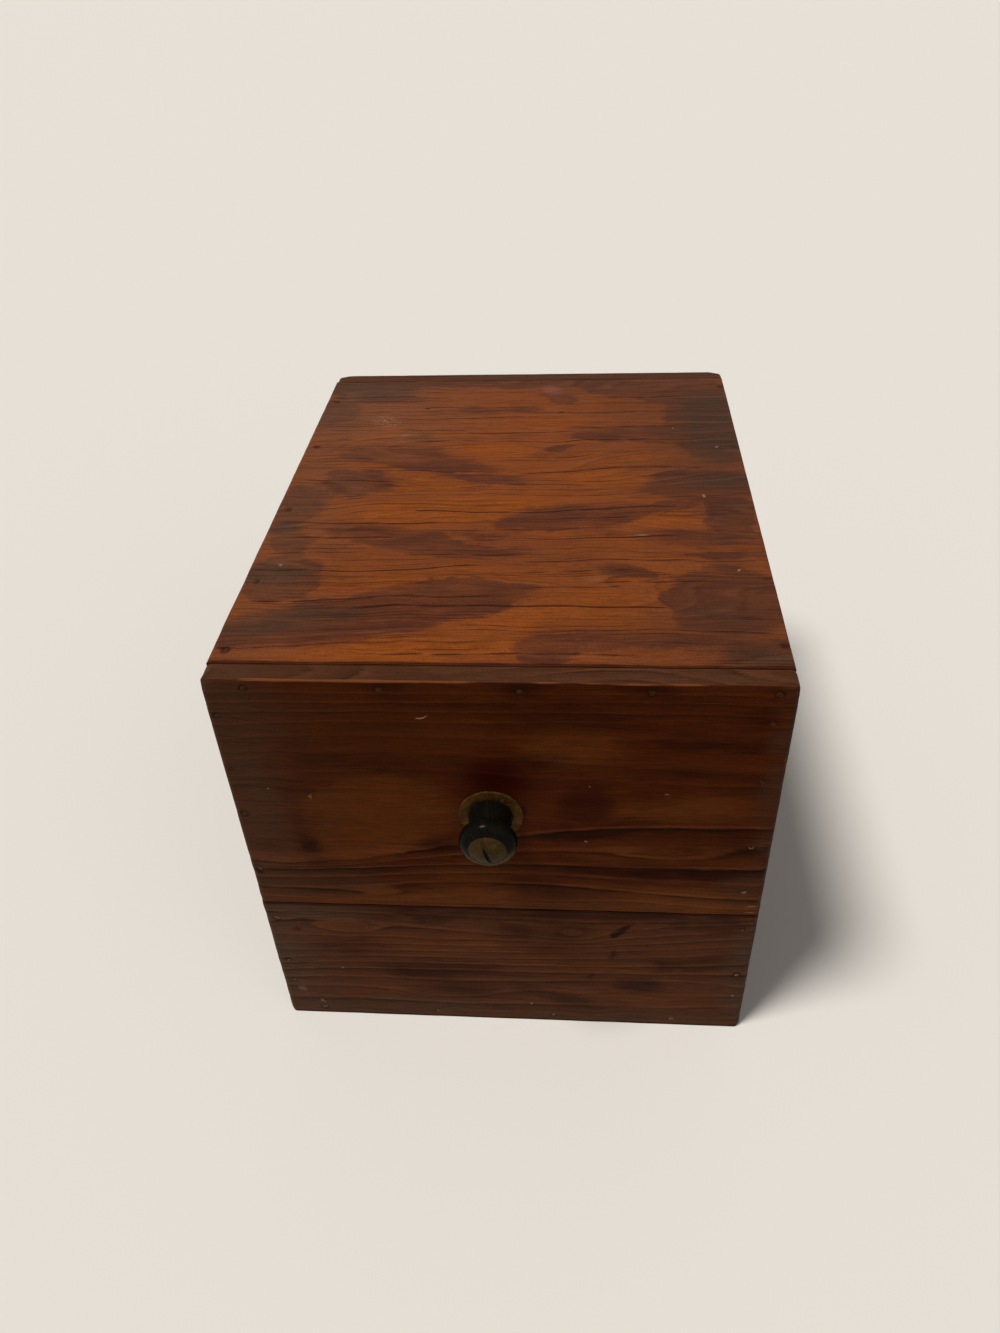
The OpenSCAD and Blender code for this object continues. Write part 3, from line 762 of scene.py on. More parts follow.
def brass_metal(name, bright, dull, metallic, patina, slot=None):
    """Old brass, with green patina. slot is a dirty slot's middle x and z, turn and half width."""
    g = Graph(bpy.data.materials.new(name), Metallic=metallic, Specular_IOR_Level=0.06,
              Specular_Tint=OLD_LACQUER)
    place = g.add("TexCoord", (), "Object")
    blotch = g.noise(place, (0.006, 0.006, 0.006), 5.0, 0.62)
    fine = g.noise(place, (0.0012, 0.0012, 0.0012), 4.0, 0.65)
    colour = g.layers(
        bright,
        (g.step(blotch, 0.36, 0.6), dull),
        (g.step(blotch + fine * 0.5, 0.8, 0.9) * patina, (92, 74, 26)),
        (g.step(fine, 0.5, 0.7) * 0.6, DIRT))
    if slot:
        middle_x, middle_z, turn, half = slot
        x, y, z = g.split(place)
        away = g.math("ABSOLUTE", (x - middle_x) * math.cos(turn) + (z - middle_z) * math.sin(turn))
        in_front = g.step(y, KNOB_FRONT, KNOB_FRONT + MM, 0.9, 0.0)
        low_down = g.step(z, middle_z, middle_z + 4 * MM, 1.0, 0.4)
        colour = g.mix(g.step(away, half, 1.4 * half, 1.0, 0.0) * in_front * low_down, colour, (12, 8, 5))
    g.set(Base_Color=colour, Roughness=g.scale(blotch + fine, 0.7, 1.4, 0.34, 0.62))
    g.bump(fine, 0.12 * MM)
    return g.owner


def ebony_wood():
    """Black polished wood. On the lower half of the knob's nose it is rubbed brown, with a painted
    reflection of the pale floor there.
    """
    g = Graph(bpy.data.materials.new("ebonised_wood"), IOR=1.5, Specular_IOR_Level=0.03,
              Specular_Tint=BLACK_POLISH)
    place = g.add("TexCoord", (), "Object")
    grain = g.noise(place, (0.0009, 0.03, 0.0009))
    worn = g.noise(place, (0.004, 0.004, 0.004), 4.0, 0.6)
    _, out, up = g.split(place)
    ragged = g.spread(worn, -2 * MM, 2 * MM)
    nose = g.step(out + ragged, NOSE_RUB_AND_REFLECTION_FROM - 2 * MM, NOSE_RUB_AND_REFLECTION_FROM + 2 * MM, 1.0, 0.0)
    low_down = g.step(up + ragged, KNOB_Z - 6 * MM, KNOB_Z + 2 * MM, 1.0, 0.0)
    colour = g.layers(
        (12, 10, 7),
        (g.step(grain, 0.5, 0.7), (20, 15, 9)),
        (g.step(worn, 0.62, 0.75) * 0.5, (56, 36, 22)),
        # the nose's lower half: polish rubbed brown, and a painted reflection of the floor below
        (nose * low_down * 0.85, (66, 50, 28)))
    g.set(Base_Color=colour, Roughness=g.scale(worn, 0.25, 0.8, 0.12, 0.26))
    g.bump(grain + worn, 0.05 * MM)
    return g.owner


# Soft marks in the shown faces, and each wood's colours in the order that wood takes them

TOP_MARKS_AND_SHEEN = [
    # The first two marks, grey-brown at the top's left and back left, are painted sheen.
    (-86, 98, 44, 40, 0.42, (92, 63, 46)), (-106, -15, 24, 110, 0.35, (92, 63, 46)),
    (66, 106, 34, 26, 0.4, (72, 43, 28)), (74, 34, 24, 40, 0.28, (68, 41, 27)),
    (68, -118, 36, 22, 0.4, (68, 40, 27)), (-62, 60, 22, 20, 0.3, (132, 76, 40)),
    (108, 50, 26, 80, 0.55, (62, 41, 31)), (0, 140, 112, 16, 0.4, (78, 52, 38)),
    (105, -105, 28, 40, 0.35, (66, 42, 30)), (0, -60, 60, 26, 0.25, (90, 48, 28)),
    (-64, 65, 2.4, 1.6, 0.25, PALE, 0.8), (-55.5, 99, 1.4, 0.9, 0.9, HOLE, 0.5),
    (21.7, 92.5, 1.6, 0.7, 0.8, HOLE, 0.5), (-112, -129, 2.5, 0.8, 0.8, HOLE, 0.5),
    (16, 123, 4, 6, 0.35, (150, 90, 78), 0.9, 30), (104.7, 48.7, 0.7, 1.2, 0.9, PALE, 0.4),
    (93, -4, 0.8, 1.3, 0.9, PALE, 0.4), (102.5, -70, 0.8, 0.8, 0.8, PALE, 0.4),
    (-103, -67, 0.9, 0.9, 0.6, PALE, 0.4), (62, -40.5, 3, 0.7, 0.5, PALE, 0.6, -6),
    (84, 71, 0.7, 0.7, 0.6, PALE, 0.4),
]

FRONT_MARKS = [
    (-20, 95, 110, 4, 0.4, (92, 52, 26), 0.7), (90, 98, 30, 8, 0.35, (92, 54, 28)),
    (-112, 155, 18, 90, 0.4, (80, 54, 40)), (40, 103, 60, 8, 0.3, (92, 52, 26)),
    (-100, 175, 28, 50, 0.35, (58, 34, 22)), (-60, 205, 60, 22, 0.3, (54, 29, 8)),
    (-1, 177, 13, 12, 0.85, DARK_RED), (37, 161, 9, 10, 0.5, (46, 12, 5), 0.8),
    (9.5, 158, 2.2, 2.6, 0.8, HOLE, 0.6), (-29, 210, 2.0, 0.4, 0.7, PALE, 0.5, 18),
    (38.5, 173, 0.5, 0.5, 0.5, PALE, 0.4), (70, 169, 0.8, 0.4, 0.4, PALE, 0.5, 20),
    (37, 139, 0.8, 0.5, 0.6, PALE, 0.4), (-100, 168, 0.5, 0.6, 0.4, PALE, 0.4),
    (-82, 164, 0.4, 1.4, 0.35, PALE, 0.5, -15), (-87, 131, 5, 8, 0.85, (30, 12, 7), 0.9, 10),
    (-106, 131, 6, 4, 0.4, (54, 24, 16)), (113, 97.5, 3, 0.4, 0.45, PALE, 0.6, 8),
    (113, 93.5, 2.5, 0.3, 0.4, PALE, 0.6, 8), (113, 101, 2.5, 0.4, 0.6, HOLE, 0.6),
]

BASE_MARKS = [
    (-110, 40, 18, 60, 0.35, (84, 60, 48)), (20, 12, 110, 16, 0.25, (82, 52, 36)),
    (54.5, 76.5, 6, 1.9, 0.95, HOLE, 0.5, 50), (51, 73, 2.6, 1.6, 0.9, HOLE, 0.5, 20),
    (51, 58, 1.6, 4.2, 0.7, (40, 18, 10), 0.6, -8), (66, 34, 10, 4.5, 0.7, (50, 28, 22), 0.7, -6),
    (40.7, 40, 2.2, 1.2, 0.6, (44, 20, 12), 0.5, 20), (-103, 71, 2, 1.4, 0.6, (44, 20, 12), 0.6),
    (-78, 73, 15, 3.6, 0.4, (86, 48, 30), 0.5, 3), (-66, 77, 5, 1.4, 0.6, (50, 22, 11), 0.6, -28),
    (-108, 21.5, 2.2, 2.0, 0.45, (120, 98, 84), 0.3), (11.5, 14.5, 0.5, 1.1, 0.9, PALE, 0.4),
    (-98.5, 11, 1.6, 0.5, 0.7, PALE, 0.5, 45), (-98.5, 11, 1.6, 0.5, 0.7, PALE, 0.5, -45),
    (-85, 40, 0.8, 0.7, 0.6, PALE, 0.4), (25, 86, 30, 2.2, 0.6, (50, 20, 10), 0.8),
    (62, 89, 12, 2.2, 0.7, (42, 15, 8), 0.8), (-50, 86, 6, 2.0, 0.6, (46, 18, 9), 0.8),
]

TOP_COLOURS = ((115, 59, 28), (80, 42, 27), (62, 42, 30), (125, 63, 21), (44, 19, 10), (140, 96, 68))
# The front's and the base's colours are darker than their wood: in part they are painted shade, that of the
# box's front
FRONT_COLOURS_WITH_SHADE = ((63, 24, 5), (38, 11, 3), (60, 34, 20), (80, 40, 11), (21, 6, 2), (112, 62, 34))
BASE_COLOURS_WITH_SHADE = ((74, 41, 24), (50, 25, 14), (66, 47, 35), (86, 47, 24), (31, 14, 9), (104, 66, 42))
SIDE_COLOURS = ((66, 27, 9), (46, 15, 6), (56, 36, 22), (82, 41, 15), (28, 9, 5), (112, 62, 40))

PALE_SCUFF = ((-77, 83), (8, 6.5), (186, 150, 124), 0.6, -40)

TOP_WOOD = wood("top_wood", TOP_COLOURS, TOP_MARKS_AND_SHEEN, PALE_SCUFF, ring=0.35, ring_fade=0.15, fine=0.55,
                spot_edge=0.9)
FRONT_WOOD = wood("front_wood", FRONT_COLOURS_WITH_SHADE, FRONT_MARKS, ring=0.92, fine=0.3, spot_edge=2.5)
BASE_WOOD = wood("base_wood", BASE_COLOURS_WITH_SHADE, BASE_MARKS, ring=0.95, fine=0.4)
BASE_WOOD_PLAIN = wood("base_wood_plain", BASE_COLOURS_WITH_SHADE, ring=0.8, fine=0.35)
SIDE_WOOD = wood("side_wood", SIDE_COLOURS, ring=0.8, fine=0.35)
IRON = iron_metal()
BRASS = brass_metal("old_brass", (80, 50, 17), (44, 25, 9), 0.15, 0.7)
HINGE_BRASS = brass_metal("hinge_brass", (98, 66, 26), (62, 39, 16), 0.15, 0.3)
DARK_BRASS = brass_metal("darkened_brass", (74, 46, 19), (46, 34, 16), 0.0, 0.2)
BOLT_BRASS = brass_metal("bolt_brass", (62, 40, 18), (42, 31, 15), 0.0, 0.25, BOLT_SLOT)
EBONY = ebony_wood()

# What the photographed faces show, in millimetres on each face: u to the right, v up or back

STATIONS = (-118, -75, -30, 15, 60, 118)

TOP_LOOKS = {
    "climbs": [
        (-95, -60, -16, 9, 4), (20, 80, -20, 9, 5), (20, 75, 24, 9, 6), (0, 55, -43, 8, 3),
        (-85, -40, -95, 8, 5), (-112, -30, -127, 8, 6), (-60, -10, -70, 7, 4.5), (10, 45, -67, 7, 3),
        (0, 50, -88, 6, 2.5), (20, 50, 40, 6, 4), (20, 35, 56, 6, 2),
    ],
    "checks": [
        (138.4, -118, 85, 0.9), (-138.4, -104, 66, 1.0), (134, -70, 20, 0.5), (129, 10, 60, 0.5),
        (126, 60, 105, 0.5), (120.3, -60, 0, 0.5), (119.3, 60, 95, 0.8), (115.6, -117, -60, 0.8),
        (112, 40, 92, 0.8), (108, -110, -40, 0.5), (103.3, 10, 70, 0.5), (100, -60, 10, 0.8),
        (95, -98, -48, 0.5), (92.4, -10, 66, 0.7), (86, -74, 14, 0.8), (79.5, -80, -20, 0.4),
        (74, 24, 96, 0.7), (71.6, -110, -72, 0.5), (70, -62, -28, 0.6), (67, -32, 30, 0.7),
        (60, -110, -46, 0.4), (57, -60, 4, 0.6), (55.6, -8, 104, 0.85), (52.3, -104, -60, 0.8),
        (48, 77, 96, 0.6), (45.4, -106, -84, 0.7), (43.2, -30, 26, 0.6), (38, 0, 80, 0.6),
        (36.8, -90, -36, 0.5), (35.4, -116, -108, 1.0), (22.6, -80, -25, 0.7), (21, 0, 96, 0.9),
        (18.6, -36, 6, 0.6), (12.6, -117, -60, 0.8), (11, -8, 54, 0.5), (6.4, -6, 40, 0.85),
        (5.3, -38, -4, 0.6), (-3.6, -62, 66, 0.55), (-6.2, -86, -70, 0.8), (-10.2, 55, 92, 0.7),
        (-16.2, -98, 0, 0.9), (-22.2, -50, 82, 0.8), (-28, -10, 60, 0.5), (-30, -115, -30, 0.75),
        (-36.4, -40, 60, 0.5), (-43, -108, -54, 0.9), (-44.6, 0, 80, 0.85), (-46, -18, 0, 0.8),
        (-56, -117, -66, 0.6), (-58, -50, 10, 0.75), (-63, -86, 0, 0.45), (-68.6, 7, 86, 0.85),
        (-76, 0, 60, 0.5), (-71.6, -117, -10, 0.85), (-80, 72, 115, 0.5), (-83, -104, -28, 0.65),
        (-84.6, 38, 100, 0.8), (-89.2, 0, 52, 0.85), (-96, -112, 0, 0.9), (-102, -66, 70, 0.9),
        (-108, 80, 115, 0.5), (-109, -82, 10, 0.5), (-114, -20, 60, 0.5), (-118.5, -15, 112, 0.8),
        (-123, 0, 90, 0.6), (-129.4, -113, 0, 0.9), (-134, -60, 60, 0.5),
    ],
    "stains": [
        (-92, 126, 28, 15), (-108, 98, 14, 18), (-20, 133, 95, 6, 0.9), (50, 128, 18, 12),
        (20, 112, 15, 8, 0.75, -35), (86, 122, 38, 16), (100, 80, 21, 42), (72, 65, 50, 11, 0.95),
        (19, 46, 12, 6, 0.7, 20), (-66, 42, 28, 14, 1.0, -10), (-40, 31, 30, 9, 1.0, -12),
        (-15, 14, 28, 7, 0.8, -8), (-80, 12, 20, 13, 1.0, -10), (-106, -12, 15, 24, 0.85),
        (-102, -47, 12, 12, 0.8), (-52, -44, 36, 10, 1.0, -16), (-18, -55, 32, 7, 0.85, -4),
        (-13, -42, 12, 4, 0.9), (28, -25, 40, 12, 1.0, 9), (75, -14, 24, 5, 0.9, 8), (94, 8, 30, 17),
        (88, -43, 36, 8, 0.9, -3), (104, -20, 14, 26, 0.9), (98, -58, 24, 6, 0.7), (-100, -77, 18, 18),
        (-20, -92, 36, 14, 1.0, 4), (-65, -108, 54, 17, 1.0, 14), (-105, -117, 18, 12), (96, -93, 27, 26),
        (48, -70, 34, 4.5, 0.8, -14), (22, -128, 14, 11), (58, -121, 38, 6, 0.95), (104, -130, 18, 12),
        (-60, 58, 16, 4, 0.8), (-20, 97, 34, 4, 0.7), (-85, 112, 30, 6, 0.9),
    ],
    "grime": [
        (-95, 128, 26, 15), (-104, -76, 14, 12), (-88, -110, 32, 10, 0.8, 12), (-108, -36, 12, 10, 0.6),
        (104, -132, 18, 7, 0.8), (106, 78, 16, 46), (104, 10, 16, 12, 0.7), (90, -102, 16, 10, 0.5),
        (-63, 72, 6, 5, 0.7, -30), (-52, 63, 5, 5, 0.7, -30), (27, 113, 4, 6, 0.6), (50, 134, 12, 4, 0.7),
    ],
    "glows": [
        (-30, -128, 38, 9, 1.0, 2), (28, -110, 42, 10), (46, -94, 16, 8), (-22, -17, 62, 14, 1.0, 3),
        (-45, 8, 22, 9), (45, 14, 32, 9, 0.9), (70, 38, 22, 6, 0.9), (-10, 46, 26, 12, 0.8),
        (15, 80, 22, 10, 0.7), (-30, -76, 50, 5, 0.9, 3), (76, -27, 20, 8, 0.8), (65, -73, 22, 6, 0.8),
        (-98, -51, 8, 5, 0.8), (-85, 62, 12, 6, 0.7), (40, 104, 18, 5, 0.7),
    ],
}

FRONT_LOOKS = {
    "rings": (STATIONS, [
        (91, 91, 91, 91, 91, 91, 0.0), (96, 97, 98, 104, 98, 95, 0.2),
        (103, 104.5, 108, 110.5, 105.5, 103, 0.65), (110, 111, 115, 116, 113, 112, 0.4),
        (115.5, 117.5, 120, 123.5, 121.7, 123.5, 0.8), (118.5, 119.5, 125.5, 132.5, 133.5, 139, 0.5),
        (121.5, 121, 133, 142, 149, 149.5, 0.75), (150, 155, 152, 154, 155, 156, 0.08),
        (170, 178, 180, 178, 176, 174, 0.12), (181, 190, 192, 186, 184, 182, 0.16),
        (196, 199, 200, 199, 200, 198, 0.14), (204, 207, 206, 209, 208, 207, 0.16),
        (211, 213, 212, 214, 213, 212, 0.22), (216, 217.5, 217, 219, 219, 218, 0.24),
        (221, 222, 222, 223, 223, 223, 0.24), (229, 229, 229, 229, 229, 229, 0.2),
    ], [(-55, 99, 22, 4.5, 0.9), (20, 101, 26, 4, 0.8), (75, 131, 26, 4, 0.7)]),
    "checks": [(122.2, 8, 110, 0.35), (106.5, 108, 117, 0.5), (136, 104, 112, 0.3)],
    "stains": [
        (-27, 134, 11, 6, 0.9, 8), (75, 118.5, 38, 6, 1.0, -1), (32, 103, 28, 6, 0.9, -14),
        (104, 135, 18, 5, 0.9, 6), (86, 199, 24, 5, 0.8, -4), (103, 211, 10, 5, 0.8),
        (26, 208, 18, 4, 0.8, 4), (-4, 216, 30, 3, 0.8), (108, 174, 12, 3.5, 0.9),
        (40, 145, 30, 5, 0.9, 10), (0, 178, 11, 9), (-45, 226, 10, 5, 0.9), (10, 226, 10, 5, 0.9),
        (60, 226, 10, 5, 0.9), (-60, 184, 40, 4, 0.7, 4), (18, 187, 14, 4, 0.8), (37, 161, 11, 11, 0.9),
        (84, 180, 20, 4, 0.8, -6), (-70, 112, 40, 5, 0.7, 10),
    ],
    "grime": [
        (-118, 160, 26, 80, 0.9), (-100, 212, 26, 16, 0.9), (-88, 108, 40, 14, 0.8, 8),
        (118, 150, 10, 80, 0.9), (118, 108, 22, 12, 0.9),
    ],
    "glows": [
        (-52, 155, 34, 21), (-62, 136, 28, 12, 1.0, 12), (-40, 96, 60, 8, 1.0, 4), (30, 194, 20, 10),
        (82, 160, 32, 8, 0.9, 6), (88, 100, 34, 10), (0, 95, 120, 4, 0.9), (75, 129, 40, 6, 1.0, 2),
        (-20, 116, 34, 6, 0.9, 6),
    ],
    "clean": [BOTTOM],
}

BASE_LOOKS = {
    "rings": (STATIONS, [
        (0, 0, 0, 0, 0, 0, 0.0), (13, 14.5, 14.5, 14, 16, 18, 0.5), (24, 24, 26, 25, 27, 26, 0.3),
        (30.5, 32, 34.5, 33, 38, 33, 0.5), (37, 40, 42, 41, 43, 45, 0.5),
        (42.5, 45, 48, 46, 49, 54, 0.55), (47, 50, 53, 51.5, 56, 62, 0.5),
        (52.5, 55, 58, 56.5, 62, 68, 0.55), (58.5, 60, 63, 61.5, 67, 74, 0.45),
        (66, 66.5, 68, 66, 72, 80, 0.4), (76, 80, 73, 71, 77, 85, 0.6),
        (84, 85.5, 84, 84.5, 83, 88.5, 0.55), (91, 91, 91, 91, 91, 91, 0.5),
    ], [(-78, 73, 17, 4.5, 1.3), (32, 72, 13, 6, 1.2), (-30, 22, 24, 6, 0.9), (66, 22, 24, 5, 1.0)]),
    "stains": [
        (66, 34, 12, 6, 1.0, -4), (-35, 85, 34, 5, 1.0, -2), (42, 87, 60, 4.5), (6, 72, 11, 7, 0.9),
        (30, 73, 14, 4, 0.9, 40), (24, 21, 24, 5, 0.9, -20), (-26, 24, 24, 7, 0.9), (97, 84, 24, 7, 0.9),
        (-36, 40, 30, 8, 0.9), (-90, 60, 28, 6, 0.8), (92, 52, 26, 6, 0.8, 8),
    ],
    "grime": [
        (-60, 7, 62, 9), (118, 45, 14, 50, 0.9), (-118, 45, 14, 50, 0.9), (60, 5, 60, 6, 0.9),
        (-105, 84, 30, 7, 0.9),
    ],
    "glows": [
        (-24, 62, 58, 10, 0.9), (34, 81, 26, 6), (60, 22, 50, 9, 0.9), (-50, 21, 34, 6, 0.9),
        (-80, 73, 16, 5), (40, 48, 40, 7, 0.9),
    ],
}


# Looks of faces that the photograph doesn't show

WALL_SEED, SIDE_SEED, TOP_SEED, BOTTOM_SEED = 11, 21, 31, 32
CHECK_ROWS = 9.0  # distance between checks
CHECK_STRAY = 3.0  # how far a check lies from its even place, at most
CHECK_LENGTH = (30, 130)
CHECK_DARK = (0.2, 0.5)
CLIMB_HALF_WIDTH = 14
CLIMB_RISE = 6.0
END_GRIME = (9, 90, 0.8)  # half u, half v and size of the grime at a board's ends

# How many spots of each kind there are, and their usual half u and half v
STAINS, GRIME, GLOWS, EYES = (7, 24, 6), (3, 24, 8), (5, 30, 9), (3, 26, 7)
SPOT_SIZES = (0.5, 1.5)


def grown_looks(node, show, along, seed):
    """Looks for a face that the photograph doesn't show, scattered as on those that it does."""
    rng = np.random.default_rng(seed)
    u, v = np.array(corners(node)).T[[along, 3 - show[0] - along]]
    middle_u, middle_v = sum(u) / 2, sum(v) / 2
    checks = []
    for mid in np.arange(v[0] + CHECK_ROWS, v[1] - CHECK_ROWS, CHECK_ROWS):
        start = rng.uniform(u[0], u[1] - 60)
        place = mid + rng.uniform(-CHECK_STRAY, CHECK_STRAY)
        checks.append((place, start, start + rng.uniform(*CHECK_LENGTH), rng.uniform(*CHECK_DARK)))

    def scatter(count, half_u, half_v):
        spots = []
        for _ in range(count):
            middle = rng.uniform(*u), rng.uniform(*v)
            halves = rng.uniform(*SPOT_SIZES) * half_u, rng.uniform(*SPOT_SIZES) * half_v
            turn, size = rng.uniform(-6, 6), rng.uniform(0.6, 1)
            spots.append((*middle, *halves, size, turn))
        return spots

    return {
        "climbs": [(rng.uniform(u[0], middle_u), rng.uniform(middle_u, u[1]), rng.uniform(*v),
                    CLIMB_HALF_WIDTH, rng.uniform(-CLIMB_RISE, CLIMB_RISE)) for _ in range(3)],
        "checks": checks,
        "stains": scatter(*STAINS),
        "grime": scatter(*GRIME) + [(end, middle_v, *END_GRIME) for end in u],
        "glows": scatter(*GLOWS),
        "eyes": [(*spot[:4], rng.uniform(0.8, 2.0)) for spot in scatter(*EYES)],
    }


# The ten boards


def wall_edges(face, outer):
    """Radii of the exposed edges of a front or back board.

    outer is TOP for the lid's and BOTTOM for the base's."""
    seam = BOTTOM if outer == TOP else TOP
    inner = (Y, 1 - face[1])
    radii = ((face, CORNER_R), (outer, FACE_CORNER_R), (seam, EDGE_R), (inner, INNER_END_R))
    edges = [((side, other), radius) for other, radius in radii for side in (LEFT, RIGHT)]
    if outer == TOP:
        edges.append(((face, TOP), EDGE_R))
    return edges


def add_walls():
    """The front and back boards of the lid and the base."""
    for part, outer, given, slot, front_wood, back_wood in (
            ("lid", TOP, FRONT_LOOKS, "front_wood", FRONT_WOOD, SIDE_WOOD),
            ("base", BOTTOM, BASE_LOOKS, "base_wood", BASE_WOOD, BASE_WOOD_PLAIN)):
        for side, face, material in (("front", FRONT, front_wood), ("back", BACK, back_wood)):
            seed = WALL_SEED + 2 * (part == "base") + (face == BACK)
            node = f"{part}_{side}_board"
            looks = given if face == FRONT else grown_looks(node, face, X, seed)
            if part == "lid":
                # the top edges of the lid's walls get the grey-brown of weathering and painted sheen
                looks = {**looks, "weathered_and_sheen": [TOP]}
            Board(node, part, slot, face, X, wall_edges(face, outer), [(f"{part}_{side}_nails", face)],
                  looks, material, seed)


def add_sides():
    for part, slot, material in (("lid", "side_wood", SIDE_WOOD), ("base", "base_wood", BASE_WOOD_PLAIN)):
        for side, face in (("left", LEFT), ("right", RIGHT)):
            seed = SIDE_SEED + 2 * (part == "base") + (face == RIGHT)
            node = f"{part}_{side}_board"
            looks = grown_looks(node, face, Y, seed)
            Board(node, part, slot, face, Y, [], [], looks, material, seed)


def add_flat_boards():
    """The lid's top board, with a gap at its front and back, and the base's bottom board."""
    edges = [((side, TOP), EDGE_R) for side in (LEFT, RIGHT)]
    Board("lid_top_board", "lid", "top_wood", TOP, X, edges, [("lid_top_nails", TOP)], TOP_LOOKS,
          TOP_WOOD, TOP_SEED, [(FRONT, TOP_GAP), (BACK, TOP_GAP)])
    edges = [((side, BOTTOM), INNER_END_R) for side in (LEFT, RIGHT)]
    looks = grown_looks("base_bottom_board", BOTTOM, X, BOTTOM_SEED)
    Board("base_bottom_board", "base", "base_wood", BOTTOM, X, edges, [("base_bottom_nails", BOTTOM)],
          looks, BASE_WOOD_PLAIN, BOTTOM_SEED)


# Knob and plate

TURN_STEPS = 96  # points round a turned piece
PLATE_SEED, KNOB_SEED = 41, 42
PLATE_WOBBLE, KNOB_WOBBLE = 0.004, 0.003  # how far from round they are, as a share
WOBBLE_SIZE = 9.0
PLATE_T = 1.2
PLATE_R = 14.0
PLATE_BACK_ROUND = 0.3
PLATE_ROUND = 0.45
PLATE_FLAT = (PLATE_R - 1.6, 11.5) # radii of two rings on the plate's face
BORE_R = 2.5
FOOT_R = 9.5
FOOT_ROUND = 0.5
FOOT_OUT = PLATE_T + 1.2  # where the foot's curve towards the waist begins
WAIST_R = 7.8
HEAD_OUT = 11.5
BEAD_R = 4.7


def lathe(name, profile, node, material, seed, wobble):
    """Turns a profile of (radius, distance out from the front board) about the knob's axis."""
    mid_x, _, mid_z = sum(corners(node)) / 2
    face_y = corners("lid_front_board")[0][Y]
    radius, out = np.array(profile).T[:, :, None]
    turn = np.arange(TURN_STEPS) * 2 * math.pi / TURN_STEPS
    beside, above = radius * np.cos(turn), radius * np.sin(turn)
    outward = out * np.ones(TURN_STEPS)
    sway = 1 + wobble * ripple([beside, above, outward], WOBBLE_SIZE, seed)
    points = np.stack([mid_x + beside * sway, face_y - outward, mid_z + above * sway], axis=-1)
    here = np.arange(TURN_STEPS)
    after = (here + 1) % TURN_STEPS
    a = np.arange(len(profile))[:, None] * TURN_STEPS
    b = np.roll(a, -1, axis=0)
    quads = np.stack([a + here, a + after, b + after, b + here], axis=-1).reshape(-1, 4)
    make_piece(name, points.reshape(-1, 3), quads, "lid", material, [node])


def arc(mid_r, mid_out, radius, start, end, count):
    """Points of a profile along an arc, by angles in degrees from straight outwards in radius."""
    return [(mid_r + radius * math.cos(math.radians(t)), mid_out + radius * math.sin(math.radians(t)))
            for t in np.linspace(start, end, count)]


def add_knob():
    plate = [(BORE_R, 0.0), (PLATE_R - PLATE_BACK_ROUND, 0.0), (PLATE_R, PLATE_BACK_ROUND)]
    plate += arc(PLATE_R - PLATE_ROUND, PLATE_T - PLATE_ROUND, PLATE_ROUND, 0, 90, 6)
    plate += [(radius, PLATE_T) for radius in (*PLATE_FLAT, BORE_R)]
    lathe("backplate_worn", plate, "knob_backplate", BRASS, PLATE_SEED, PLATE_WOBBLE)
    knob = [(BORE_R, PLATE_T), (FOOT_R - FOOT_ROUND, PLATE_T)]
    knob += arc(FOOT_R - FOOT_ROUND, PLATE_T + FOOT_ROUND, FOOT_ROUND, -90, 0, 5)
    for t in np.linspace(0, 1, 14):
        ease_in = (1 + math.cos(math.pi * t)) / 2
        knob.append((WAIST_R + (FOOT_R - WAIST_R) * ease_in, FOOT_OUT + (HEAD_OUT - FOOT_OUT) * t))
    knob += arc(WAIST_R, HEAD_OUT + BEAD_R, BEAD_R, -88, 90, 26)
    knob.append((BORE_R, HEAD_OUT + 2 * BEAD_R))
    lathe("knob_turned", knob, "knob", EBONY, KNOB_SEED, KNOB_WOBBLE)


BEVEL_WIDTH = 0.15 * MM
BEVEL_STEPS = 2
BEVEL_FROM = math.radians(40)  # edges flatter than this stay as they are


def dress_metal():
    """Small metal parts keep their CAD shape, with softened edges and an aged finish."""
    finishes = (("nails", IRON), ("knob_washer", IRON), ("knob_nut", IRON), ("knob_bolt", BOLT_BRASS),
                ("hinge_screws", DARK_BRASS), ("hinge", HINGE_BRASS))
    for name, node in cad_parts.items():
        fitting = [material for part, material in finishes if part in name]
        if not fitting:
            continue
        node.data.materials.clear()
        node.data.materials.append(fitting[0])
        if "nails" not in name:
            bevel = node.modifiers.new("worn_edges", "BEVEL")
            bevel.width = BEVEL_WIDTH
            bevel.segments = BEVEL_STEPS
            bevel.limit_method = "ANGLE"
            bevel.angle_limit = BEVEL_FROM


# Camera, floor and light

FOCAL_PIXELS = 1020.0
PHOTO_LONG_SIDE = 1333.0
SENSOR_WIDTH = 36.0
CAMERA_PLACE = (0.0324, -0.4514, 0.4782)
CAMERA_ELEVATION = math.radians(38.49)
CAMERA_AZIMUTH = math.radians(5.54)
CAMERA_ROLL = math.radians(-2.85)

FLOOR_HALF = 12.0
FLOOR_COLOUR = (214, 208, 199)
BACKDROP = (230, 224, 214)  # the lit floor's colour, as the screen shows it
WORLD_LIGHT = 0.2

# Each light's place, the angle that it seems to fill, and its power
LIGHTS = {"key": ((-0.55, -0.34, 1.6), 14, 3.1), "fill": ((1.0, -1.4, 1.2), 50, 0.35)}


def place_in_scene(name, data):
    placed = bpy.data.objects.new(name, data)
    bpy.context.scene.collection.objects.link(placed)
    return placed


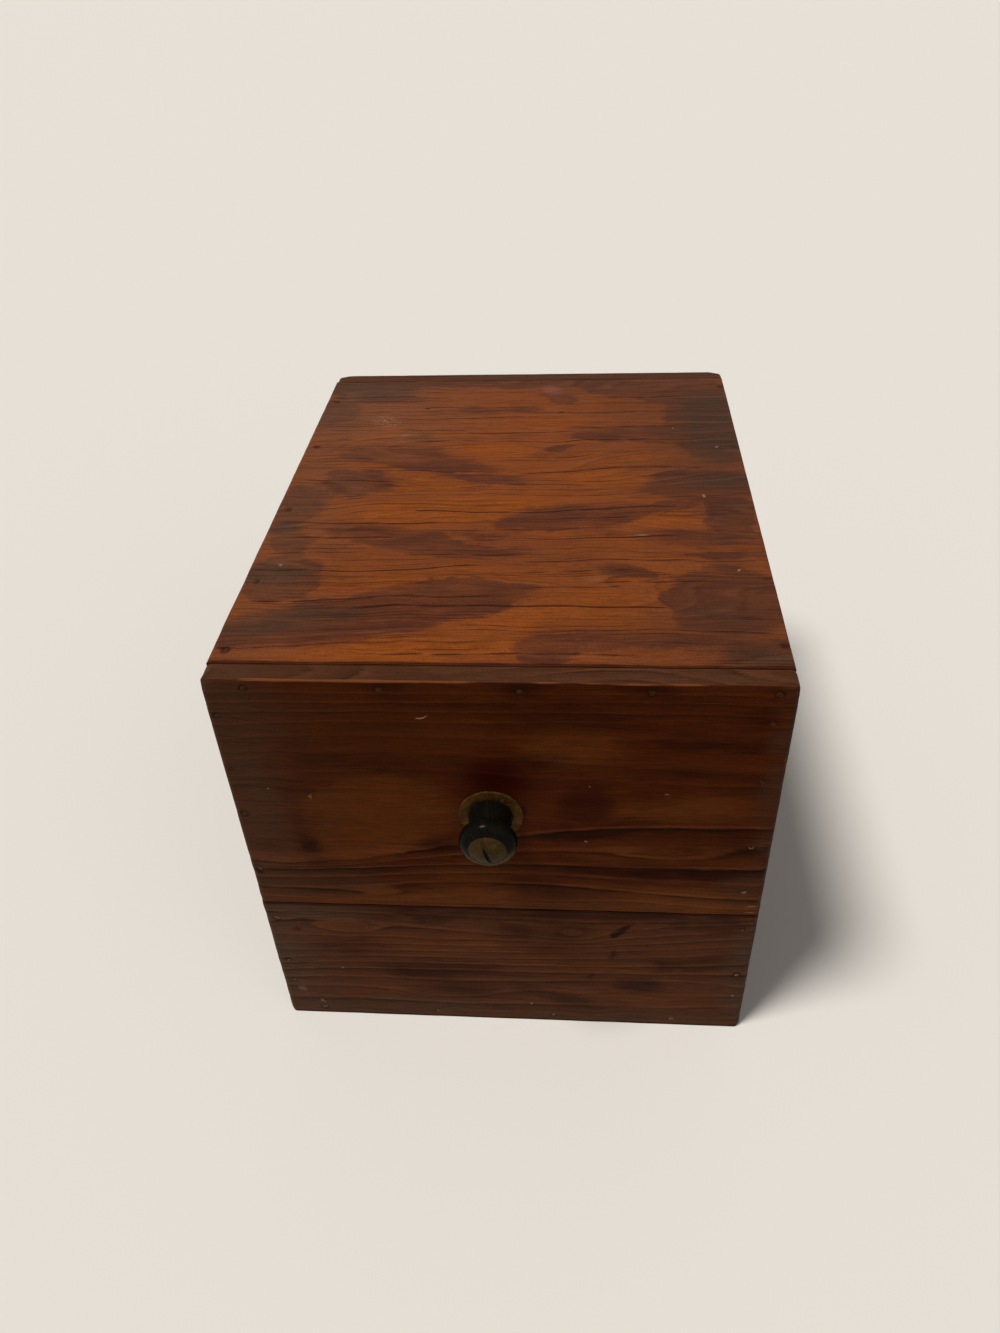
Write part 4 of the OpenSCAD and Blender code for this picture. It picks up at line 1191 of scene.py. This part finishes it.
def add_camera():
    data = bpy.data.cameras.new("camera")
    data.sensor_width = SENSOR_WIDTH
    data.lens = SENSOR_WIDTH * FOCAL_PIXELS / PHOTO_LONG_SIDE
    data.clip_start = 0.01
    camera = place_in_scene("camera", data)
    camera.matrix_world = (Matrix.Translation(CAMERA_PLACE)
                           @ Matrix.Rotation(CAMERA_AZIMUTH, 4, "Z")
                           @ Matrix.Rotation(math.pi / 2 - CAMERA_ELEVATION, 4, "X")
                           @ Matrix.Rotation(CAMERA_ROLL, 4, "Z"))
    bpy.context.scene.camera = camera


def add_floor():
    rim = [(x * FLOOR_HALF, y * FLOOR_HALF, 0) for x, y in ((-1, -1), (1, -1), (1, 1), (-1, 1))]
    mesh = bpy.data.meshes.new("floor")
    mesh.from_pydata(rim, [], [(0, 1, 2, 3)])
    g = Graph(bpy.data.materials.new("pale_floor"), Base_Color=paint(*FLOOR_COLOUR), Roughness=0.9,
              Specular_IOR_Level=0.1)
    mesh.materials.append(g.owner)
    floor = place_in_scene("floor", mesh)


def add_lights():
    """Distant soft lights that shine from their places towards the middle of the scene."""
    for name, (place, angle, power) in LIGHTS.items():
        data = bpy.data.lights.new(name, "SUN")
        data.angle = math.radians(angle)
        data.energy = power
        light = place_in_scene(name, data)
        light.location = place
        light.rotation_euler = Vector(place).to_track_quat("Z", "Y").to_euler()


def add_world():
    """A dim white light, which the camera and reflections see as a pale backdrop."""
    g = Graph(bpy.data.worlds.new("studio"), "Background", Color=(1, 1, 1, 1), Strength=WORLD_LIGHT)
    seen = g.add("Background", {"Color": paint(*BACKDROP)})
    path = g.add("LightPath").socket.node.outputs
    rays = [Value(g, path[ray]) for ray in ("Is Camera Ray", "Is Glossy Ray", "Is Transmission Ray")]
    shown = g.math("MAXIMUM", g.math("MAXIMUM", rays[0], rays[1]), rays[2])
    mixed = g.add("MixShader", {0: shown, 1: Value(g, g.shader.outputs[0]), 2: seen})
    g.feed(g.tree.nodes["World Output"].inputs["Surface"], mixed)
    bpy.context.scene.world = g.owner


add_camera()
add_floor()
add_lights()
add_world()
add_walls()
add_sides()
add_flat_boards()
add_knob()
dress_metal()

bpy.context.scene.view_settings.view_transform = "Standard"
